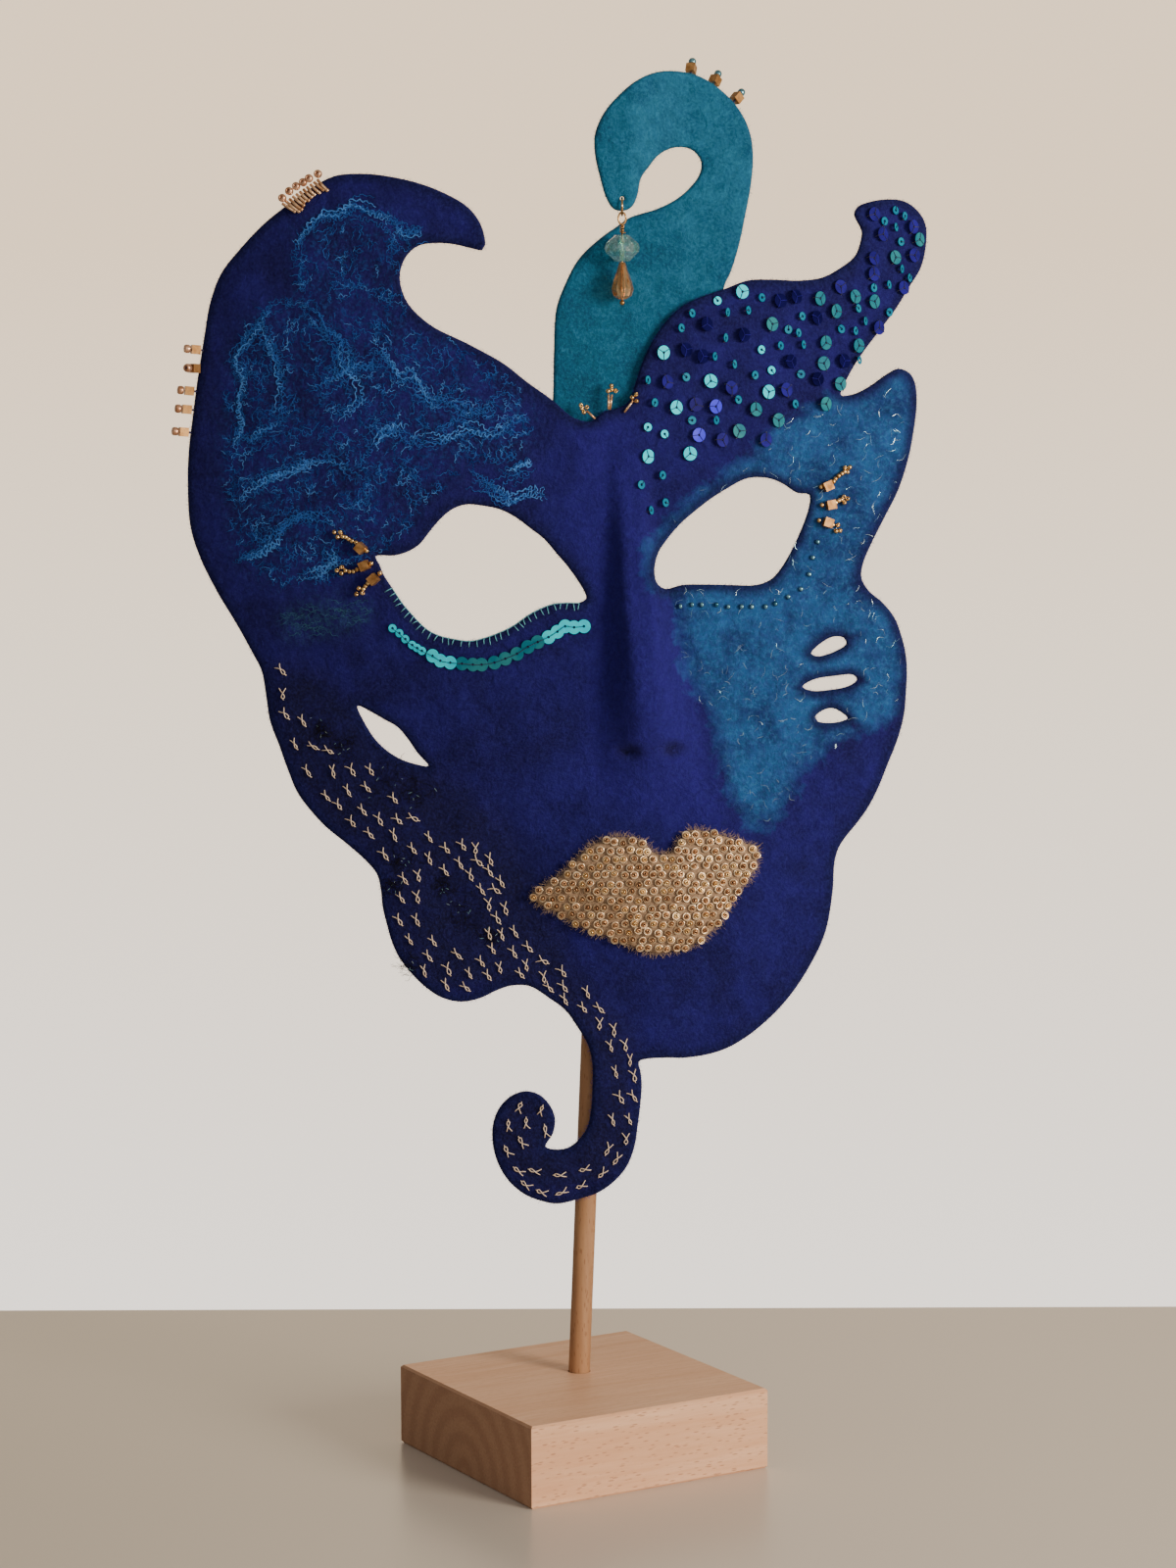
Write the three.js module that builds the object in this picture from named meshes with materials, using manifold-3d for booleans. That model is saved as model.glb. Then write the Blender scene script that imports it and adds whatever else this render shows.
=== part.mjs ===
// Felt carnival mask on a wooden stand: a curved wet-felted shell with a horn, a sequin fin, an ear and a
// curled tail, a turquoise swan neck sewn on behind its forehead, and a bead drop on the swan's beak.
// Millimetres, +Z up. X runs to the viewer's right and the face looks along -Y.
// The origin is the middle of the stand block's bottom face.
import * as THREE from "three";
import { mergeVertices } from "three/addons/utils/BufferGeometryUtils.js";
import Module from "manifold-3d";

const wasm = await Module();
wasm.setup();

// Stand
const block_side = 100;
const block_height = 30;
const block_turn_deg = 30.5;
const block_chamfer = 0.8;
const dowel_diameter = 8;
const dowel_lean_deg = 2.35;
const dowel_setback = 7.7;
const dowel_side_shift = -0.95;
const socket_depth = 20;
const clearance = 0.3;

// Felt mask
const felt = 3;
const mask_width = 275;
const mask_height = 380;
const mask_lift = 64.5;
const side_bow = 28.6;
const brow_bow = 10.2;
const chin_bow = 4.3;
const face_tilt_deg = 6.4;
const nose_width = 39;
const nose_length = 119;
const nose_height = 17;
const nose_tilt_deg = 4.5;
const mouth_swell = 4;
const lips_width = 84;
const lips_height = 47;
const lips_felt = 3;

// Swan neck, the felt sleeve on the back that holds the dowel, and the beads
const neck_width = 74.5;
const neck_height = 139;
const beak_forward = 10.5;
const sleeve_width = 24;
const sleeve_length = 29;
const ring_radius = 3.1;
const ring_wire = 0.8;
const drop_wire = 0.7;
const loop_width = 3.4;
const loop_length = 5;
const wrap_length = 3.2;
const wrap_diameter = 1.7;
const rondelle_diameter = 12.8;
const rondelle_height = 9.4;
const teardrop_diameter = 8.2;
const teardrop_length = 13.2;
const ball_diameter = 1.9;
const cube_bead = 3.3;
const round_bead = 3.2;
const crest_bead = 2.8;
const stack_clearance = 0.6;
const bead_bore = 1;
const bugle_length = 5;
const bugle_diameter = 1;
const comb_tube = 2;
const comb_tube_length = 4.6;
const comb_tubes = 11;
const comb_beads = 6;
const comb_tube_pitch = 1.64;
const comb_turn_deg = 29.3;
const sequin_large = 5;
const sequin_small = 3.3;
const sequin_thickness = 0.5;

// Finishes
const ultramarine_felt = material(0x1f1c5e, 0.95, 0);
const turquoise_felt = material(0x0d7896, 0.95, 0);
const beige_felt = material(0xcdb28a, 0.95, 0);
const beech = material(0xcf9f7a, 0.6, 0);
const gold_wire = material(0xb98a4a, 0.35, 1);
const copper_bead = material(0xb5764e, 0.3, 1);
const pale_cube = material(0xd9b48c, 0.3, 0.6);
const sequin_blue = material(0x3fb9c4, 0.25, 0.3);
const clear_blue_glass = material(0x8fd6dc, 0.05, 0);
const amber_glass = material(0xd79a4c, 0.05, 0);

// Main directions
const UP = new THREE.Vector3(0, 0, 1);
const BACK = new THREE.Vector3(0, 1, 0);
const degrees = Math.PI / 180;

// Where the mask hangs over the block: its lowest point, its left side and its middle line
const block_top = block_height;
const mask_bottom = block_top + mask_lift;
const mask_left = -0.533 * mask_width;
const middle_across = 0.633;
const middle_up = 0.467;
const deepest_up = 0.51;

// The felt's front where the bow is deepest. The tail's back lies on the dowel.
const tail_back = dowel_setback - dowel_diameter / 2 - clearance;
const face_front = tail_back - felt / Math.cos(8 * degrees) - bow(dowelX(mask_bottom), mask_bottom);

// Outlines as seen from straight in front. Each row is a share of the mask's width and height.
const OUTLINE_COLUMNS = ["across", "up"];
const horn_rows = table(OUTLINE_COLUMNS, [
  [0.300, 0.888], [0.297, 0.904], [0.321, 0.930], [0.369, 0.931], [0.407, 0.925], [0.409, 0.942],
  [0.386, 0.967], [0.329, 0.989], [0.211, 0.999], [0.114, 0.956], [0.051, 0.908], [0.018, 0.812],
  [0.003, 0.660], [0.101, 0.520],
]);
const left_cheek_rows = table(OUTLINE_COLUMNS, [
  [0.101, 0.520], [0.112, 0.471], [0.136, 0.424], [0.149, 0.401], [0.188, 0.368], [0.218, 0.351],
  [0.258, 0.323],
]);
const lobe_rows = table(OUTLINE_COLUMNS, [
  [0.258, 0.323], [0.286, 0.242], [0.347, 0.202], [0.399, 0.203], [0.419, 0.211], [0.464, 0.216],
  [0.513, 0.193], [0.530, 0.176], [0.549, 0.141], [0.541, 0.077], [0.515, 0.056], [0.485, 0.057],
]);
const curl_rows = table(OUTLINE_COLUMNS, [
  [0.485, 0.057], [0.498, 0.085], [0.478, 0.109], [0.441, 0.108], [0.414, 0.078], [0.435, 0.021],
  [0.501, 0.000], [0.578, 0.024], [0.606, 0.061], [0.615, 0.122], [0.611, 0.143],
]);
const chin_rows = table(OUTLINE_COLUMNS, [
  [0.611, 0.143], [0.720, 0.154], [0.786, 0.185], [0.845, 0.242], [0.863, 0.270], [0.872, 0.308],
  [0.879, 0.350], [0.921, 0.391], [0.960, 0.455], [0.972, 0.519], [0.955, 0.572], [0.920, 0.599],
  [0.910, 0.611],
]);
const ear_rows = table(OUTLINE_COLUMNS, [
  [0.910, 0.611], [0.912, 0.625], [0.923, 0.643], [0.960, 0.696], [0.984, 0.799], [0.961, 0.812],
  [0.901, 0.788], [0.882, 0.787],
]);
const fin_rows = table(OUTLINE_COLUMNS, [
  [0.882, 0.787], [0.894, 0.807], [0.992, 0.910], [1.000, 0.952], [0.970, 0.974], [0.906, 0.967],
  [0.901, 0.960], [0.911, 0.944], [0.902, 0.920], [0.857, 0.899], [0.757, 0.896], [0.726, 0.887],
  [0.666, 0.869], [0.620, 0.821], [0.600, 0.781],
]);
const brow_rows = table(OUTLINE_COLUMNS, [
  [0.600, 0.781], [0.583, 0.774], [0.567, 0.771], [0.550, 0.762], [0.527, 0.766], [0.497, 0.784],
  [0.435, 0.817], [0.339, 0.854], [0.310, 0.873], [0.300, 0.888],
]);
const left_eye_rows = table(OUTLINE_COLUMNS, [
  [0.261, 0.633], [0.287, 0.634], [0.321, 0.645], [0.349, 0.669], [0.383, 0.683], [0.429, 0.679],
  [0.487, 0.650], [0.543, 0.593], [0.500, 0.589], [0.428, 0.561], [0.387, 0.553], [0.328, 0.565],
  [0.272, 0.616],
]);
const right_eye_rows = table(OUTLINE_COLUMNS, [
  [0.633, 0.621], [0.638, 0.637], [0.666, 0.663], [0.753, 0.707], [0.804, 0.702], [0.823, 0.693],
  [0.839, 0.691], [0.797, 0.618], [0.768, 0.606], [0.702, 0.606], [0.670, 0.606], [0.647, 0.602],
  [0.636, 0.608],
]);
const left_slit_rows = table(OUTLINE_COLUMNS, [
  [0.234, 0.488], [0.288, 0.468], [0.316, 0.443], [0.330, 0.431], [0.293, 0.437], [0.259, 0.455],
]);
const top_slit_rows = table(OUTLINE_COLUMNS, [
  [0.842, 0.539], [0.871, 0.555], [0.885, 0.554], [0.889, 0.548], [0.850, 0.536],
]);
const middle_slit_rows = table(OUTLINE_COLUMNS, [
  [0.830, 0.507], [0.845, 0.514], [0.899, 0.518], [0.904, 0.513], [0.868, 0.504], [0.842, 0.504],
]);
const low_slit_rows = table(OUTLINE_COLUMNS, [
  [0.847, 0.478], [0.858, 0.484], [0.871, 0.486], [0.892, 0.476], [0.851, 0.474],
]);
const slit_tables = [left_slit_rows, top_slit_rows, middle_slit_rows, low_slit_rows];
const hole_tables = [left_eye_rows, right_eye_rows, ...slit_tables];

// The nose from the bridge to below its base: shares of the nose's length, width and height
const nose_sections = table(["along", "wide", "proud"], [
  [0.00, 0.42, 0.00],
  [0.16, 0.46, 0.12],
  [0.36, 0.52, 0.36],
  [0.60, 0.68, 0.60],
  [0.80, 0.88, 0.86],
  [0.91, 1.00, 1.00],
  [0.98, 1.02, 0.70],
  [1.06, 0.96, 0.00],
]);
const nose_bridge = { across: 0.5953, up: 0.753 };
const nose_ridge_share = 0.34;
const mouth_middle = { across: 0.625, up: 0.313 };

// The lips' beige felt, in shares of the lips' width and height from the middle of the mouth
const lips_rows = table(OUTLINE_COLUMNS, [
  [-0.521, -0.065], [-0.471, 0.024], [-0.363, 0.154], [-0.278, 0.324], [-0.164, 0.421], [-0.020, 0.380],
  [0.016, 0.308], [0.062, 0.283], [0.111, 0.324], [0.187, 0.485], [0.393, 0.396], [0.485, 0.324],
  [0.308, -0.275], [0.193, -0.445], [0.124, -0.485], [0.049, -0.510], [-0.151, -0.396], [-0.272, -0.324],
  [-0.413, -0.186], [-0.471, -0.138],
]);

// The swan neck: shares of its own width and height. The base is hidden behind the forehead.
const neck_left = 0.496 * mask_width;
const neck_bottom = 0.7305 * mask_height;
const swan_rows = table(OUTLINE_COLUMNS, [
  [0.015, 0.146], [0.034, 0.380], [0.144, 0.510], [0.400, 0.619], [0.525, 0.639], [0.621, 0.665],
  [0.736, 0.732], [0.744, 0.762], [0.660, 0.800], [0.535, 0.780], [0.449, 0.718], [0.405, 0.646],
  [0.314, 0.639], [0.225, 0.834], [0.268, 0.889], [0.527, 0.997], [0.806, 0.966], [0.990, 0.830],
  [0.928, 0.543], [0.852, 0.430],
]);
const swan_base_rows = table(OUTLINE_COLUMNS, [
  [0.852, 0.430], [0.868, 0.361], [0.772, 0.247], [0.617, 0.119], [0.402, 0.023], [0.210, 0.000],
  [0.052, 0.031], [0.000, 0.100], [0.015, 0.146],
]);
const beak_fade = { from: 0.381, to: 0.693 };
const beak_line = { across: 0.190, up: 0.564, rise: 0.304, blur: 0.013 };
const ring_hole = { across: 0.352, up: 0.662 };

// Places of the beads, in shares of the mask, with the way each one points in degrees from the right
const eye_cube_rows = table(["across", "up", "points"], [
  [0.244, 0.642, 140], [0.249, 0.625, 203], [0.261, 0.612, 220],
  [0.862, 0.700, 23], [0.866, 0.682, 10], [0.862, 0.665, 342],
]);
const pin_rows = table(["across", "up", "points"], [
  [0.555, 0.764, 132], [0.570, 0.773, 92], [0.577, 0.773, 82], [0.594, 0.770, 53],
]);
// Stacks sewn on an edge: how far each points outward instead of straight off the felt
const edge_stack_rows = table(["across", "up", "outward"], [
  [0.024, 0.834, 0.72], [0.019, 0.816, 0.25], [0.014, 0.794, 0.76], [0.010, 0.776, 0.72],
  [0.005, 0.754, 0.68],
]);
const crest_stack_rows = table(["across", "up", "outward"], [
  [0.690, 0.994, 0.66], [0.801, 0.965, 0.66], [0.902, 0.922, 0.66],
]);
const comb_middle = { across: 0.175, up: 0.9855 };
const string_rows = table(OUTLINE_COLUMNS, [
  [0.284, 0.564], [0.302, 0.554], [0.324, 0.543], [0.362, 0.532], [0.404, 0.530], [0.451, 0.541],
  [0.493, 0.557], [0.522, 0.566], [0.540, 0.567],
]);
const string_small_count = 6;

// Fineness of the mesh
const coarse_step = 24;
const fine_step = 5.6;
const upright_fine_step = 7;
const neck_fine_step = 1.8;
const outline_step = 6.5;
const neck_outline_step = 4;
const bead_sides = 10;
const sequin_sides = 7;
const wire_sides = 6;

const group = new THREE.Group();
group.add(standBlock(), standDowel(), dowelSleeve(), maskShell(), swanNeck(), lipsPad());
group.add(jumpRing(), dropWire(), rondelle(), teardrop());
eye_cube_rows.forEach((row, i) => group.add(eyeCube(row, i)));
edge_stack_rows.forEach((row, i) => group.add(...edgeStack(row, i)));
crest_stack_rows.forEach((row, i) => group.add(...crestStack(row, i)));
pin_rows.forEach((row, i) => group.add(browPin(row, i)));
group.add(hornComb(), sequinString());

// Small helpers

function material(color, roughness, metalness) {
  return new THREE.MeshStandardMaterial({ color, roughness, metalness });
}

function table(columns, rows) {
  return rows.map((row) => Object.fromEntries(columns.map((name, i) => [name, row[i]])));
}

function smooth(from, to, value) {
  return THREE.MathUtils.smoothstep(value, from, to);
}

function mesh(name, geometry, finish) {
  const piece = new THREE.Mesh(geometry, finish);
  piece.name = name;
  return piece;
}

// A closed geometry as a solid that can be joined and cut
function solid(geometry) {
  const plain = geometry.clone();
  plain.deleteAttribute("normal");
  plain.deleteAttribute("uv");
  const merged = mergeVertices(plain, 1e-4);
  return new wasm.Manifold(new wasm.Mesh({
    numProp: 3,
    vertProperties: new Float32Array(merged.attributes.position.array),
    triVerts: new Uint32Array(merged.index.array),
  }));
}

function geometryOf(body) {
  const result = body.getMesh();
  const geometry = new THREE.BufferGeometry();
  geometry.setAttribute("position", new THREE.BufferAttribute(new Float32Array(result.vertProperties), 3));
  geometry.setIndex(new THREE.BufferAttribute(new Uint32Array(result.triVerts), 1));
  return geometry;
}

function joined(geometries) {
  return geometries.map(solid).reduce((whole, piece) => whole.add(piece));
}

// A smooth line through points, with a new point about every step
function smoothLine(points, step, closed = false) {
  const curve = new THREE.CatmullRomCurve3(points, closed, "centripetal");
  const count = Math.max(points.length, Math.round(curve.getLength() / step));
  return curve.getSpacedPoints(count);
}

// A closed loop made of smooth stretches that meet at corners
function stretches(list, place, step) {
  return list.flatMap((rows) => smoothLine(rows.map(place), step).slice(0, -1));
}

// A straight-sided body whose outline lies in the X Z plane, from one y to another
function prism(points, from, to) {
  const shape = new THREE.Shape(points.map((point) => new THREE.Vector2(point.x, point.z)));
  const geometry = new THREE.ExtrudeGeometry(shape, { depth: to - from, bevelEnabled: false });
  geometry.rotateX(90 * degrees);
  geometry.translate(0, to, 0);
  return geometry;
}

// Lines of a grid, finer inside one stretch
function gridLines(from, to, fine_from, fine_to, finest = fine_step) {
  const spans = [[from, fine_from, coarse_step], [fine_from, fine_to, finest], [fine_to, to, coarse_step]];
  const lines = [from];
  for (const [start, end, step] of spans) {
    const count = Math.ceil((end - start) / step);
    for (let i = 1; i <= count; i += 1) {
      lines.push(start + (end - start) * i / count);
    }
  }
  return lines;
}

// The body between two surfaces y = near(x, z) and y = far(x, z) over a grid
function slab(xs, zs, near, far) {
  const positions = [];
  for (const surface of [near, far]) {
    for (const z of zs) {
      for (const x of xs) {
        positions.push(x, surface(x, z), z);
      }
    }
  }
  const layer = xs.length * zs.length;
  const index = [];
  const at = (i, j, side) => side * layer + j * xs.length + i;
  const quad = (a, b, c, d) => index.push(a, b, c, a, c, d);
  for (let j = 0; j + 1 < zs.length; j += 1) {
    for (let i = 0; i + 1 < xs.length; i += 1) {
      quad(at(i, j, 0), at(i + 1, j, 0), at(i + 1, j + 1, 0), at(i, j + 1, 0));
      quad(at(i, j, 1), at(i, j + 1, 1), at(i + 1, j + 1, 1), at(i + 1, j, 1));
    }
  }
  const last_i = xs.length - 1;
  const last_j = zs.length - 1;
  for (let i = 0; i < last_i; i += 1) {
    quad(at(i, 0, 0), at(i, 0, 1), at(i + 1, 0, 1), at(i + 1, 0, 0));
    quad(at(i, last_j, 0), at(i + 1, last_j, 0), at(i + 1, last_j, 1), at(i, last_j, 1));
  }
  for (let j = 0; j < last_j; j += 1) {
    quad(at(0, j, 0), at(0, j + 1, 0), at(0, j + 1, 1), at(0, j, 1));
    quad(at(last_i, j, 0), at(last_i, j, 1), at(last_i, j + 1, 1), at(last_i, j + 1, 0));
  }
  const geometry = new THREE.BufferGeometry();
  geometry.setAttribute("position", new THREE.BufferAttribute(new Float32Array(positions), 3));
  geometry.setIndex(index);
  return geometry;
}

// Shape of the face

function onMask(row) {
  return new THREE.Vector3(mask_left + row.across * mask_width, 0, mask_bottom + row.up * mask_height);
}

function middleLineX(z) {
  const middle = onMask({ across: middle_across, up: middle_up });
  return middle.x - (z - middle.z) * Math.tan(face_tilt_deg * degrees);
}

// How far the felt has bowed back at a point
function bow(x, z) {
  const aside = (x - middleLineX(z)) / (mask_width / 2);
  const above = (z - mask_bottom - deepest_up * mask_height) / (mask_height / 2);
  const upright_bow = above > 0 ? brow_bow : chin_bow;
  return side_bow * aside * aside + upright_bow * above * above;
}

// The felt's front without the nose and mouth
function bowedY(x, z) {
  return face_front + bow(x, z);
}

// How far the nose stands out at a point
function noseRelief(x, z) {
  const bridge = onMask(nose_bridge);
  const tilt = nose_tilt_deg * degrees;
  const dx = x - bridge.x;
  const dz = bridge.z - z;
  const along = (dz * Math.cos(tilt) + dx * Math.sin(tilt)) / nose_length;
  const beside = Math.abs(dx * Math.cos(tilt) - dz * Math.sin(tilt));
  const last = nose_sections.length - 1;
  if (along <= nose_sections[0].along || along >= nose_sections[last].along) {
    return 0;
  }
  const next = nose_sections.findIndex((row) => row.along >= along);
  const a = nose_sections[next - 1];
  const b = nose_sections[next];
  const share = (along - a.along) / (b.along - a.along);
  const half = THREE.MathUtils.lerp(a.wide, b.wide, share) * nose_width / 2;
  const height = THREE.MathUtils.lerp(a.proud, b.proud, share) * nose_height;
  return height * (1 - smooth(nose_ridge_share, 1, beside / half));
}

function mouthRelief(x, z) {
  const middle = onMask(mouth_middle);
  const reach = Math.hypot((x - middle.x) / (lips_width * 0.75), (z - middle.z) / lips_height);
  return mouth_swell * (1 - smooth(0, 1, reach));
}

function maskFront(x, z) {
  return bowedY(x, z) - noseRelief(x, z) - mouthRelief(x, z);
}

// The outward direction of a surface that faces the viewer
function frontNormal(surface, x, z) {
  const reach = 1;
  const slope_x = (surface(x + reach, z) - surface(x - reach, z)) / (2 * reach);
  const slope_z = (surface(x, z + reach) - surface(x, z - reach)) / (2 * reach);
  return new THREE.Vector3(slope_x, -1, slope_z).normalize();
}

// The felt keeps its thickness where the surface slopes, as far as the hollow behind the nose allows
function feltBack(surface, x, z) {
  const lean = 1 / Math.abs(frontNormal(surface, x, z).y);
  return surface(x, z) + felt * Math.min(lean, 1.5);
}

function maskBack(x, z) {
  return feltBack(maskFront, x, z);
}

// The dowel leans to the right on its way up
function dowelX(z) {
  return dowel_side_shift + (z - block_top) * Math.tan(dowel_lean_deg * degrees);
}

// Stand

function standBlock() {
  const half = block_side / 2 - block_chamfer;
  const shape = new THREE.Shape();
  shape.moveTo(-half, -half);
  shape.lineTo(half, -half);
  shape.lineTo(half, half);
  shape.lineTo(-half, half);
  const body = new THREE.ExtrudeGeometry(shape, {
    depth: block_height - 2 * block_chamfer,
    bevelThickness: block_chamfer,
    bevelSize: block_chamfer,
    bevelSegments: 1,
  });
  body.translate(0, 0, block_chamfer);
  body.rotateZ(block_turn_deg * degrees);
  const socket_radius = dowel_diameter / 2 + clearance;
  const socket = new THREE.CylinderGeometry(socket_radius, socket_radius, 2 * socket_depth, 16);
  placeOnDowel(socket, block_top);
  return mesh("stand_block", geometryOf(solid(body).subtract(solid(socket))), beech);
}

// Turns a body along Y so that it follows the dowel's line, with its middle at a height
function placeOnDowel(geometry, z) {
  geometry.rotateX(90 * degrees);
  geometry.rotateY(dowel_lean_deg * degrees);
  geometry.translate(dowelX(z), dowel_setback, z);
}

function dowelTop() {
  return sleeveTop() - felt - clearance;
}

function standDowel() {
  const bottom = block_top - socket_depth + clearance * 2;
  const middle = (bottom + dowelTop()) / 2;
  const length = (dowelTop() - bottom) / Math.cos(dowel_lean_deg * degrees);
  const radius = dowel_diameter / 2;
  const body = new THREE.CylinderGeometry(radius, radius, length, 16);
  placeOnDowel(body, middle);
  return mesh("stand_dowel", body, beech);
}

// Felt shell

function maskOutline() {
  const list = [horn_rows, left_cheek_rows, lobe_rows, curl_rows, chin_rows, ear_rows, fin_rows, brow_rows];
  return stretches(list, onMask, outline_step);
}

// The shell and the lips share one grid, so that the gap between them is the same everywhere
function maskGrid() {
  const nose_top = onMask(nose_bridge);
  const mouth = onMask(mouth_middle);
  const reach = nose_width * 0.55;
  const nose_foot_x = middleLineX(nose_top.z - nose_length);
  const right = mask_left + mask_width;
  const top = mask_bottom + mask_height;
  const xs = gridLines(mask_left - felt, right + felt, nose_top.x - reach, nose_foot_x + reach);
  const zs = gridLines(mask_bottom - felt, top + felt, mouth.z - lips_height, nose_top.z, upright_fine_step);
  return { xs, zs };
}

function maskShell() {
  const near = face_front - nose_height - mouth_swell;
  const far = face_front + side_bow * 2 + brow_bow + felt * 2;
  const { xs, zs } = maskGrid();
  let body = solid(slab(xs, zs, maskFront, maskBack));
  body = body.intersect(solid(prism(maskOutline(), near, far)));
  for (const rows of hole_tables) {
    const hole = smoothLine(rows.map(onMask), outline_step, true).slice(0, -1);
    body = body.subtract(solid(prism(hole, near, far)));
  }
  return mesh("mask_shell", geometryOf(body), ultramarine_felt);
}

// Swan neck behind the forehead. Its beak end is bent forward, so that the drop hangs clear of the neck.

function onNeck(row) {
  return new THREE.Vector3(
    mask_left + neck_left + row.across * neck_width, 0, mask_bottom + neck_bottom + row.up * neck_height);
}

function neckFront(x, z) {
  const across = (x - mask_left - neck_left) / neck_width;
  const up = (z - mask_bottom - neck_bottom) / neck_height;
  const line = beak_line.up + (across - beak_line.across) * beak_line.rise;
  const over_line = smooth(-beak_line.blur, beak_line.blur, up - line);
  const bend = beak_forward * over_line * (1 - smooth(beak_fade.from, beak_fade.to, across));
  return feltBack(bowedY, x, z) + clearance - bend;
}

function neckBack(x, z) {
  return neckFront(x, z) + felt;
}

function neckMiddle(row) {
  const point = onNeck(row);
  point.y = neckFront(point.x, point.z) + felt / 2;
  return point;
}

function swanNeck() {
  const low = onNeck({ across: 0, up: 0 });
  const high = onNeck({ across: 1, up: 1 });
  const outline = stretches([swan_rows, swan_base_rows], onNeck, neck_outline_step);
  const fade = [beak_fade.from, beak_fade.to].map((across) => onNeck({ across, up: beak_line.up }));
  const line_end = onNeck({ across: 0, up: beak_line.up + beak_line.rise * 0.6 });
  const xs = gridLines(low.x - felt, high.x + felt, fade[0].x, fade[1].x);
  const zs = gridLines(low.z - felt, high.z + felt, fade[0].z, line_end.z, neck_fine_step);
  const near = face_front - beak_forward;
  const far = face_front + side_bow + brow_bow + felt * 4;
  const hole = neckMiddle(ring_hole);
  const hole_radius = ring_wire / 2 + ring_radius - Math.sqrt(ring_radius ** 2 - (felt / 2) ** 2) + clearance;
  const bore = new THREE.CylinderGeometry(hole_radius, hole_radius, felt * 3, bead_sides);
  bore.translate(hole.x, hole.y, hole.z);
  let body = solid(slab(xs, zs, neckFront, neckBack));
  body = body.intersect(solid(prism(outline, near, far))).subtract(solid(bore));
  return mesh("swan_neck", geometryOf(body), turquoise_felt);
}

// Felt sleeve sewn on the back of the nose bridge: a patch with a closed tube for the dowel's top

function sleeveTop() {
  return mask_bottom + 0.717 * mask_height;
}

function dowelSleeve() {
  const top = sleeveTop();
  const bottom = top - sleeve_length;
  const middle_z = (top + bottom) / 2;
  const sides = [-1, 1].map((side) => dowelX(middle_z) + side * sleeve_width / 2);
  const seats = [top, middle_z, bottom].flatMap((z) => [-1, -0.5, 0, 0.5, 1].map((share) => (
    maskBack(dowelX(middle_z) + share * sleeve_width / 2, z))));
  const patch_front = Math.max(...seats) + clearance;
  const corners = [[0, bottom], [1, bottom], [1, top], [0, top]];
  const outline = corners.map(([side, z]) => new THREE.Vector3(sides[side], 0, z));
  const patch = solid(prism(outline, patch_front, patch_front + felt));
  const tube_radius = dowel_diameter / 2 + clearance + felt;
  const tube = new THREE.CylinderGeometry(tube_radius, tube_radius, sleeve_length, 16);
  placeOnDowel(tube, middle_z);
  const tube_near = solid(prism(outline, patch_front, dowel_setback + tube_radius * 2));
  const bore_radius = dowel_diameter / 2 + clearance;
  const bore = new THREE.CylinderGeometry(bore_radius, bore_radius, sleeve_length, 16);
  placeOnDowel(bore, middle_z - felt);
  const body = patch.add(solid(tube).intersect(tube_near)).subtract(solid(bore));
  return mesh("dowel_sleeve", geometryOf(body), ultramarine_felt);
}

// Lips: a domed pad of beige felt on the mouth

function lipsPad() {
  const middle = onMask(mouth_middle);
  const place = (row) => new THREE.Vector3(
    middle.x + row.across * lips_width, 0, middle.z + row.up * lips_height);
  const outline = smoothLine(lips_rows.map(place), outline_step, true).slice(0, -1);
  const { xs, zs } = maskGrid();
  const under = (x, z) => maskFront(x, z) - clearance;
  const dome = (x, z) => {
    const reach = Math.hypot((x - middle.x) / (lips_width / 2), (z - middle.z) / (lips_height / 2));
    return under(x, z) - lips_felt * (1 - 0.5 * smooth(0.3, 1.1, reach));
  };
  const near = face_front - nose_height - mouth_swell - lips_felt;
  const far = face_front + side_bow;
  const body = solid(slab(xs, zs, dome, under)).intersect(solid(prism(outline, near, far)));
  return mesh("lips_pad", geometryOf(body), beige_felt);
}

// Drop on the swan's beak. The ring hangs through the felt, and the wire loop hangs in the ring.

function ringMiddle() {
  const hole = neckMiddle(ring_hole);
  const sag = ring_radius - Math.sqrt(ring_radius ** 2 - (felt / 2) ** 2);
  return new THREE.Vector3(hole.x, hole.y, hole.z + sag / 2 - ring_radius);
}

function jumpRing() {
  const middle = ringMiddle();
  const body = new THREE.TorusGeometry(ring_radius, ring_wire / 2, wire_sides, 16);
  body.rotateY(90 * degrees);
  body.translate(middle.x, middle.y, middle.z);
  return mesh("jump_ring", body, gold_wire);
}

// Heights of the drop's pieces, worked out downward from the ring
function dropHeights() {
  const ring_low = ringMiddle().z - ring_radius;
  const loop_top = ring_low + ring_wire / 2 + clearance + drop_wire;
  const loop_low = loop_top - loop_length;
  const rondelle_top = loop_low - wrap_length - clearance;
  const rondelle_low = rondelle_top - rondelle_height;
  const teardrop_top = rondelle_low - clearance;
  const teardrop_low = teardrop_top - teardrop_length;
  const ball = teardrop_low - clearance - ball_diameter / 2;
  return { loop_top, loop_low, rondelle_top, rondelle_low, teardrop_top, teardrop_low, ball };
}

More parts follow.
